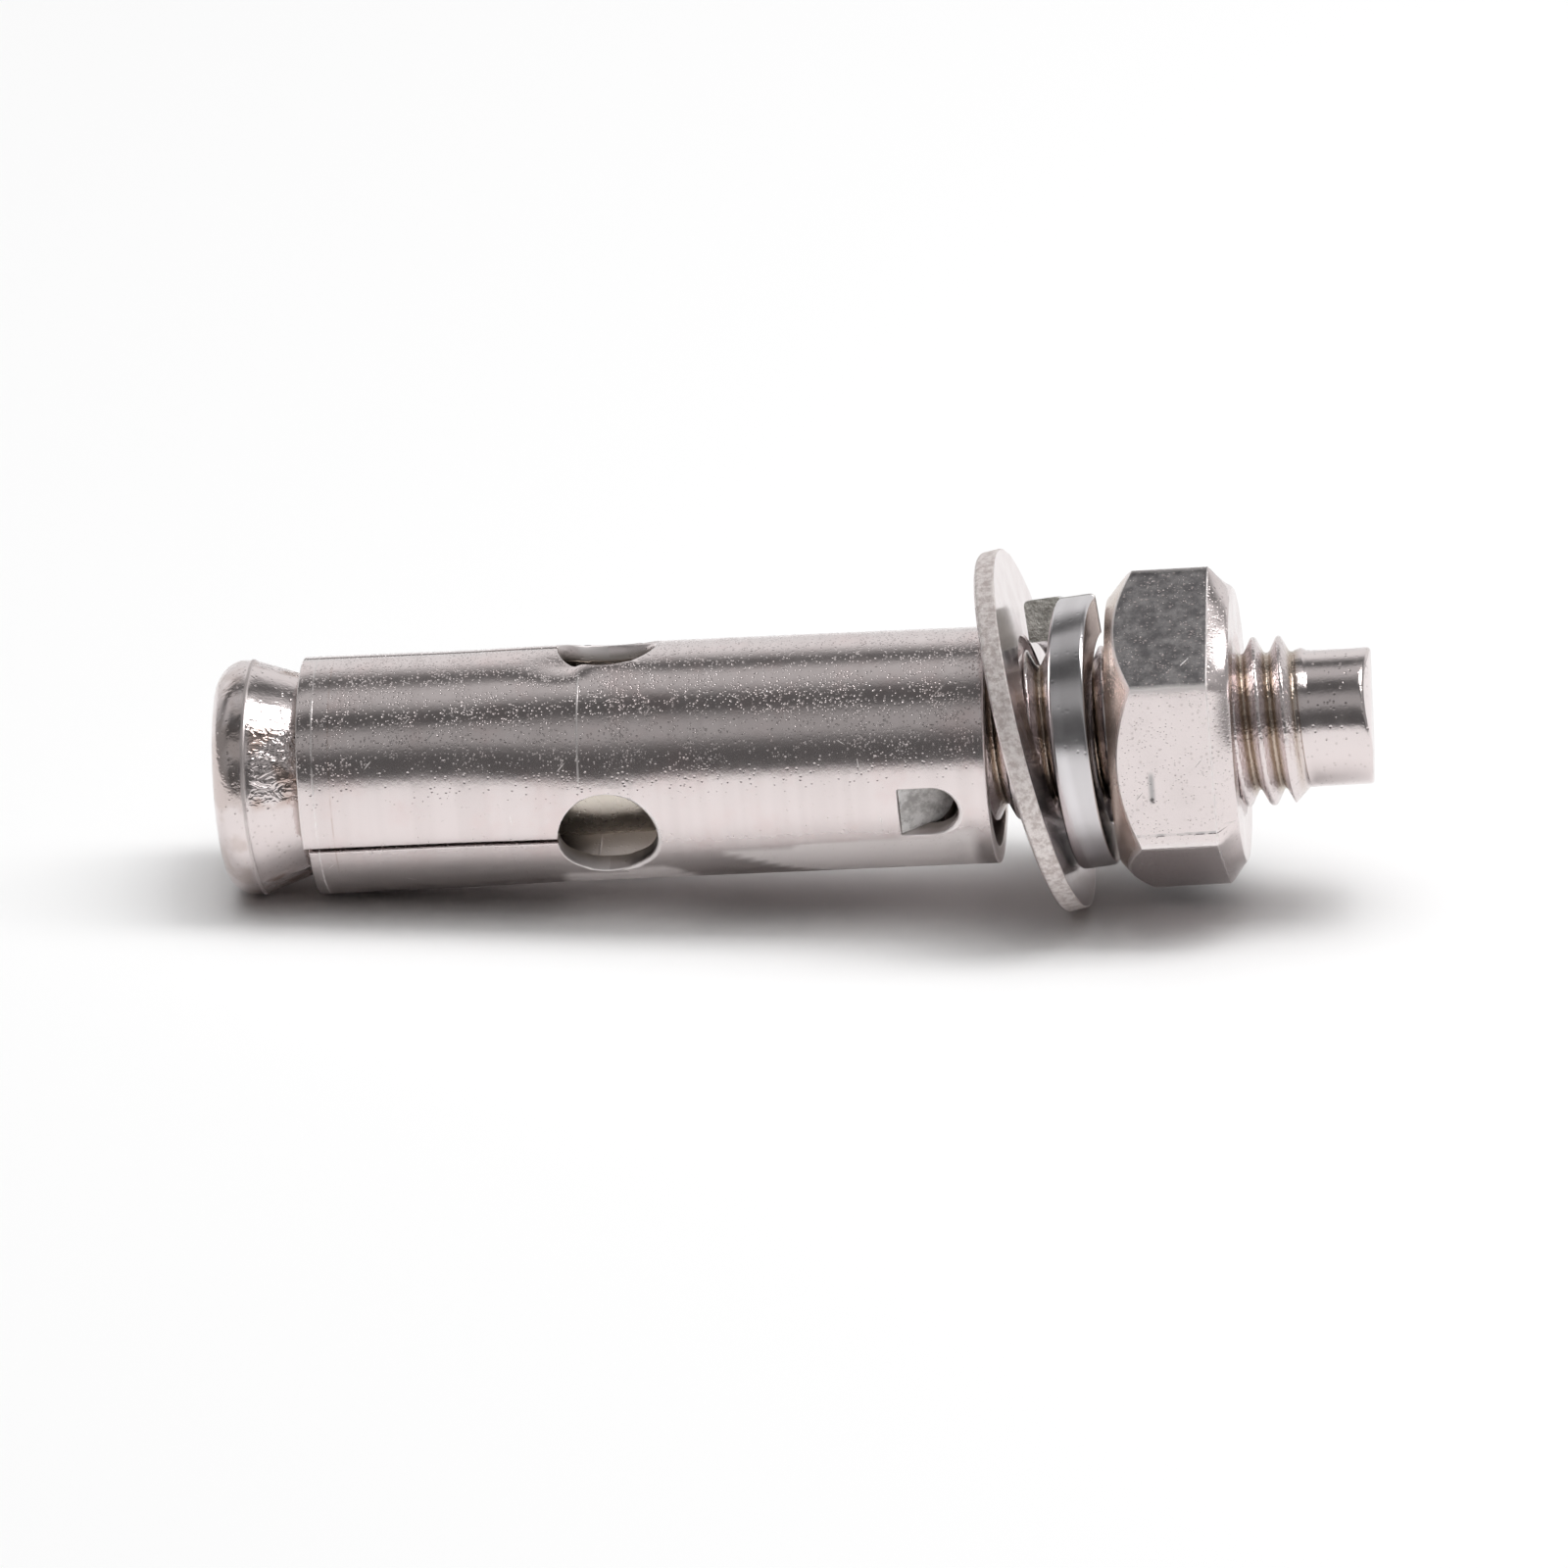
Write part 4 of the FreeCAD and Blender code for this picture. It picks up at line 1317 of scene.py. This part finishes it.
def hexagon_radius(turn):
    """Distance from the axis to the hexagon at a turn from a flat's middle, corners eased."""
    off = (turn + SIXTH / 2) % SIXTH - SIXTH / 2
    sharp = NUT_FLAT / cos(off)
    corner = NUT_FLAT / cos(SIXTH / 2)
    near = (SIXTH / 2 - abs(off)) / (SIXTH / 2)
    return sharp - corner * CORNER_ROUND * exp(-near / 0.035)


# %% Turn the blank: each ring has its own station until it is pressed
BLANK_RADIUS = 9.0
RING_CHAMFER = 1.0
RING_CROWN = NUT_HEIGHT - CROWN_HEIGHT


def blank_section():
    rim = BLANK_RADIUS
    yield 0.0, NUT_MOUTH + 0.05
    yield from between((0.0, NUT_MOUTH + 0.5), (0.0, NUT_FACE), 3)
    yield from between((0.0, NUT_FACE), (RING_CHAMFER, rim), 4)
    yield RING_CHAMFER, rim
    yield from between((RING_CHAMFER + 0.08, rim), (RING_CROWN - 0.08, rim), 7)
    yield RING_CROWN - 0.08, rim
    yield RING_CROWN, rim
    yield from between((RING_CROWN + 0.06, rim), (NUT_HEIGHT, rim), 10)
    yield NUT_HEIGHT, CROWN_RADIUS - 0.08
    yield from between((NUT_HEIGHT, CROWN_RADIUS - 0.4), (NUT_HEIGHT, NUT_MOUTH + 0.05), 4)
    yield NUT_HEIGHT, NUT_MOUTH + 0.05


nut = spin_section("nut", blank_section(), NUT_STEPS)


def pressed(point):
    """Press a point of the round blank into the nut's form."""
    turn = atan2(point.y, point.z)
    radius = off_axis(point)
    side = hexagon_radius(turn)
    chamfer_end = (side - NUT_FACE) * NUT_CHAMFER
    if radius > NUT_FACE + 0.01 and point.x < RING_CHAMFER - 1e-3:
        share = point.x / RING_CHAMFER
        point = Vector((share * chamfer_end, point.y, point.z))
        return with_radius(point, NUT_FACE + share * (side - NUT_FACE))
    if radius > BLANK_RADIUS - 0.1 and point.x < RING_CROWN + 1e-3:
        share = (point.x - RING_CHAMFER) / (RING_CROWN - RING_CHAMFER)
        station = chamfer_end + share * (RING_CROWN - chamfer_end)
        return with_radius(Vector((station, point.y, point.z)), side)
    if radius > BLANK_RADIUS - 0.1:
        share = (point.x - RING_CROWN) / CROWN_HEIGHT
        return with_radius(point, side + share**CROWN_BULGE * (CROWN_RADIUS - side))
    return point.copy()


def on_flat(point):
    """One on the six sides, nothing on the chamfer, the crown and the faces."""
    on_side = RING_CHAMFER + 0.04 < point.x < RING_CROWN - 0.04
    return 1.0 if on_side and off_axis(point) > BLANK_RADIUS - 0.1 else 0.0


def on_nut_edge(point):
    """One along the flats' outlines and on the corners between them."""
    if off_axis(point) < BLANK_RADIUS - 0.1:
        return 0.0
    if abs(point.x - RING_CHAMFER) < 0.01 or abs(point.x - RING_CROWN) < 0.01:
        return 1.0
    off = (atan2(point.y, point.z) + SIXTH / 2) % SIXTH
    return 1.0 if min(off, SIXTH - off) < radians(0.6) and on_flat(point) else 0.0


mark(nut, "flat", on_flat)
mark(nut, "worn", on_nut_edge)
reshape(nut, pressed)

# %% The thread inside, opened at both ends by the countersinks
nut_low, nut_high, _ = reach["hex_nut"]


def countersunk(point):
    """The bench station here still counts along the stud."""
    depth = min(point.x - nut_low, nut_high - point.x)
    return with_radius(point, max(off_axis(point), NUT_MOUTH - max(0.0, depth)))


nut_thread = threaded("nut_thread", nut_low, nut_high, THREAD_CLEARANCE)
reshape(nut_thread, countersunk)
reshape(nut_thread, lambda p: about_x(NUT_TURN - 90.0) @ Vector((p.x - nut_low, p.y, p.z)))
nut = join(nut, nut_thread)
bridge_rims(nut, -0.05, 0.05)
bridge_rims(nut, NUT_HEIGHT - 0.05, NUT_HEIGHT + 0.05)
close_seams(nut)
print("nut:", open_edges(nut), "open edges")


# %% Nut steel
NUT_PLACE = at_station(nut_low) @ Matrix.Translation((0.0, 0.0, -NUT_DROP * MILLIMETRE)) @ facing(NUT_TURN)
DARK_FLAT_TURN = radians(60.0)
DARK_FLAT_EDGE = (0.857, 0.872)
PAINTED_DARK_FLAT = (0.200, 0.190, 0.195)
DENT_AND_PAINTED_FLAT_GREY = (0.420, 0.400, 0.400)
CHAMFER_WARM = (0.66, 0.56, 0.50)
STRUCK_STATION = 2.5
STRUCK_TURN = radians(-7.3)
STRUCK_HALF = radians(7.2)
STRUCK_WIDTH = 0.30
RUBBED_LINE_TURN = radians(-25.5)


def nut_steel():
    steel = Finish("nut_steel", NUT_PLACE)
    height, dings = steel.effect(TUMBLED, 3.0)
    scratch_height, scratch_marks = steel.effect(SCRATCHES, 0.7, steel.laid_flat(NUT_FLAT))
    peened, pin_dings = steel.effect(TUMBLED, 6.0)
    flat = steel.marked("flat")
    struck = steel.near(steel.turn, STRUCK_TURN, STRUCK_HALF, STRUCK_HALF * 0.5)
    struck = steel.times(struck, steel.near(steel.station, STRUCK_STATION, STRUCK_WIDTH))
    line = steel.near(steel.turn, RUBBED_LINE_TURN, 0.012, 0.003)
    line = steel.times(line, steel.grey(steel.cloud(0.9), 0.38, 0.6, 0.2, 0.9))
    height = steel.plus(
        steel.times(height, 0.55), (peened, 0.8), (scratch_height, 1.6), (struck, -9.0), (line, -2.0)
    )
    steel.bump(height, 0.008)
    # painted reflection: two opposite flats are painted dark and mottled, with real dings on top
    painted_dark_flats = steel.grey(steel.maths("ABSOLUTE", steel.towards(DARK_FLAT_TURN)), *DARK_FLAT_EDGE)
    mottled = steel.grey(steel.cloud(1.1, 5.0, 0.7), 0.35, 0.68)
    painted_flat_tone = steel.blend(mottled, PAINTED_DARK_FLAT, DENT_AND_PAINTED_FLAT_GREY)
    painted_flat_tone = steel.blend(steel.maths("MAXIMUM", dings, pin_dings), painted_flat_tone, STEEL_DARK)
    low_end = steel.grey(steel.station, 1.2, 2.2, 1.0, 0.0)
    pale = steel.maths("MAXIMUM", steel.marked("worn"), steel.times(scratch_marks, 0.7))
    steel.paint(
        STEEL_LIGHT,
        (dings, STEEL_DARK),
        (steel.times(low_end, steel.maths("SUBTRACT", 1.0, flat)), CHAMFER_WARM),
        # painted reflection on the two dark flats; the next line's grey also colours the real dent and
        # rubbed line
        (steel.times(painted_dark_flats, flat), painted_flat_tone),
        (steel.times(steel.maths("MAXIMUM", struck, line), flat), DENT_AND_PAINTED_FLAT_GREY),
        (pale, RUBBED),
    )
    steel.gloss(steel.cloud(0.5, 3.0), 0.17, 0.27, (pale, 0.16))
    return steel.material


set_in_place(nut, nut_steel(), NUT_PLACE, "nut", "hex_nut", 28.0)
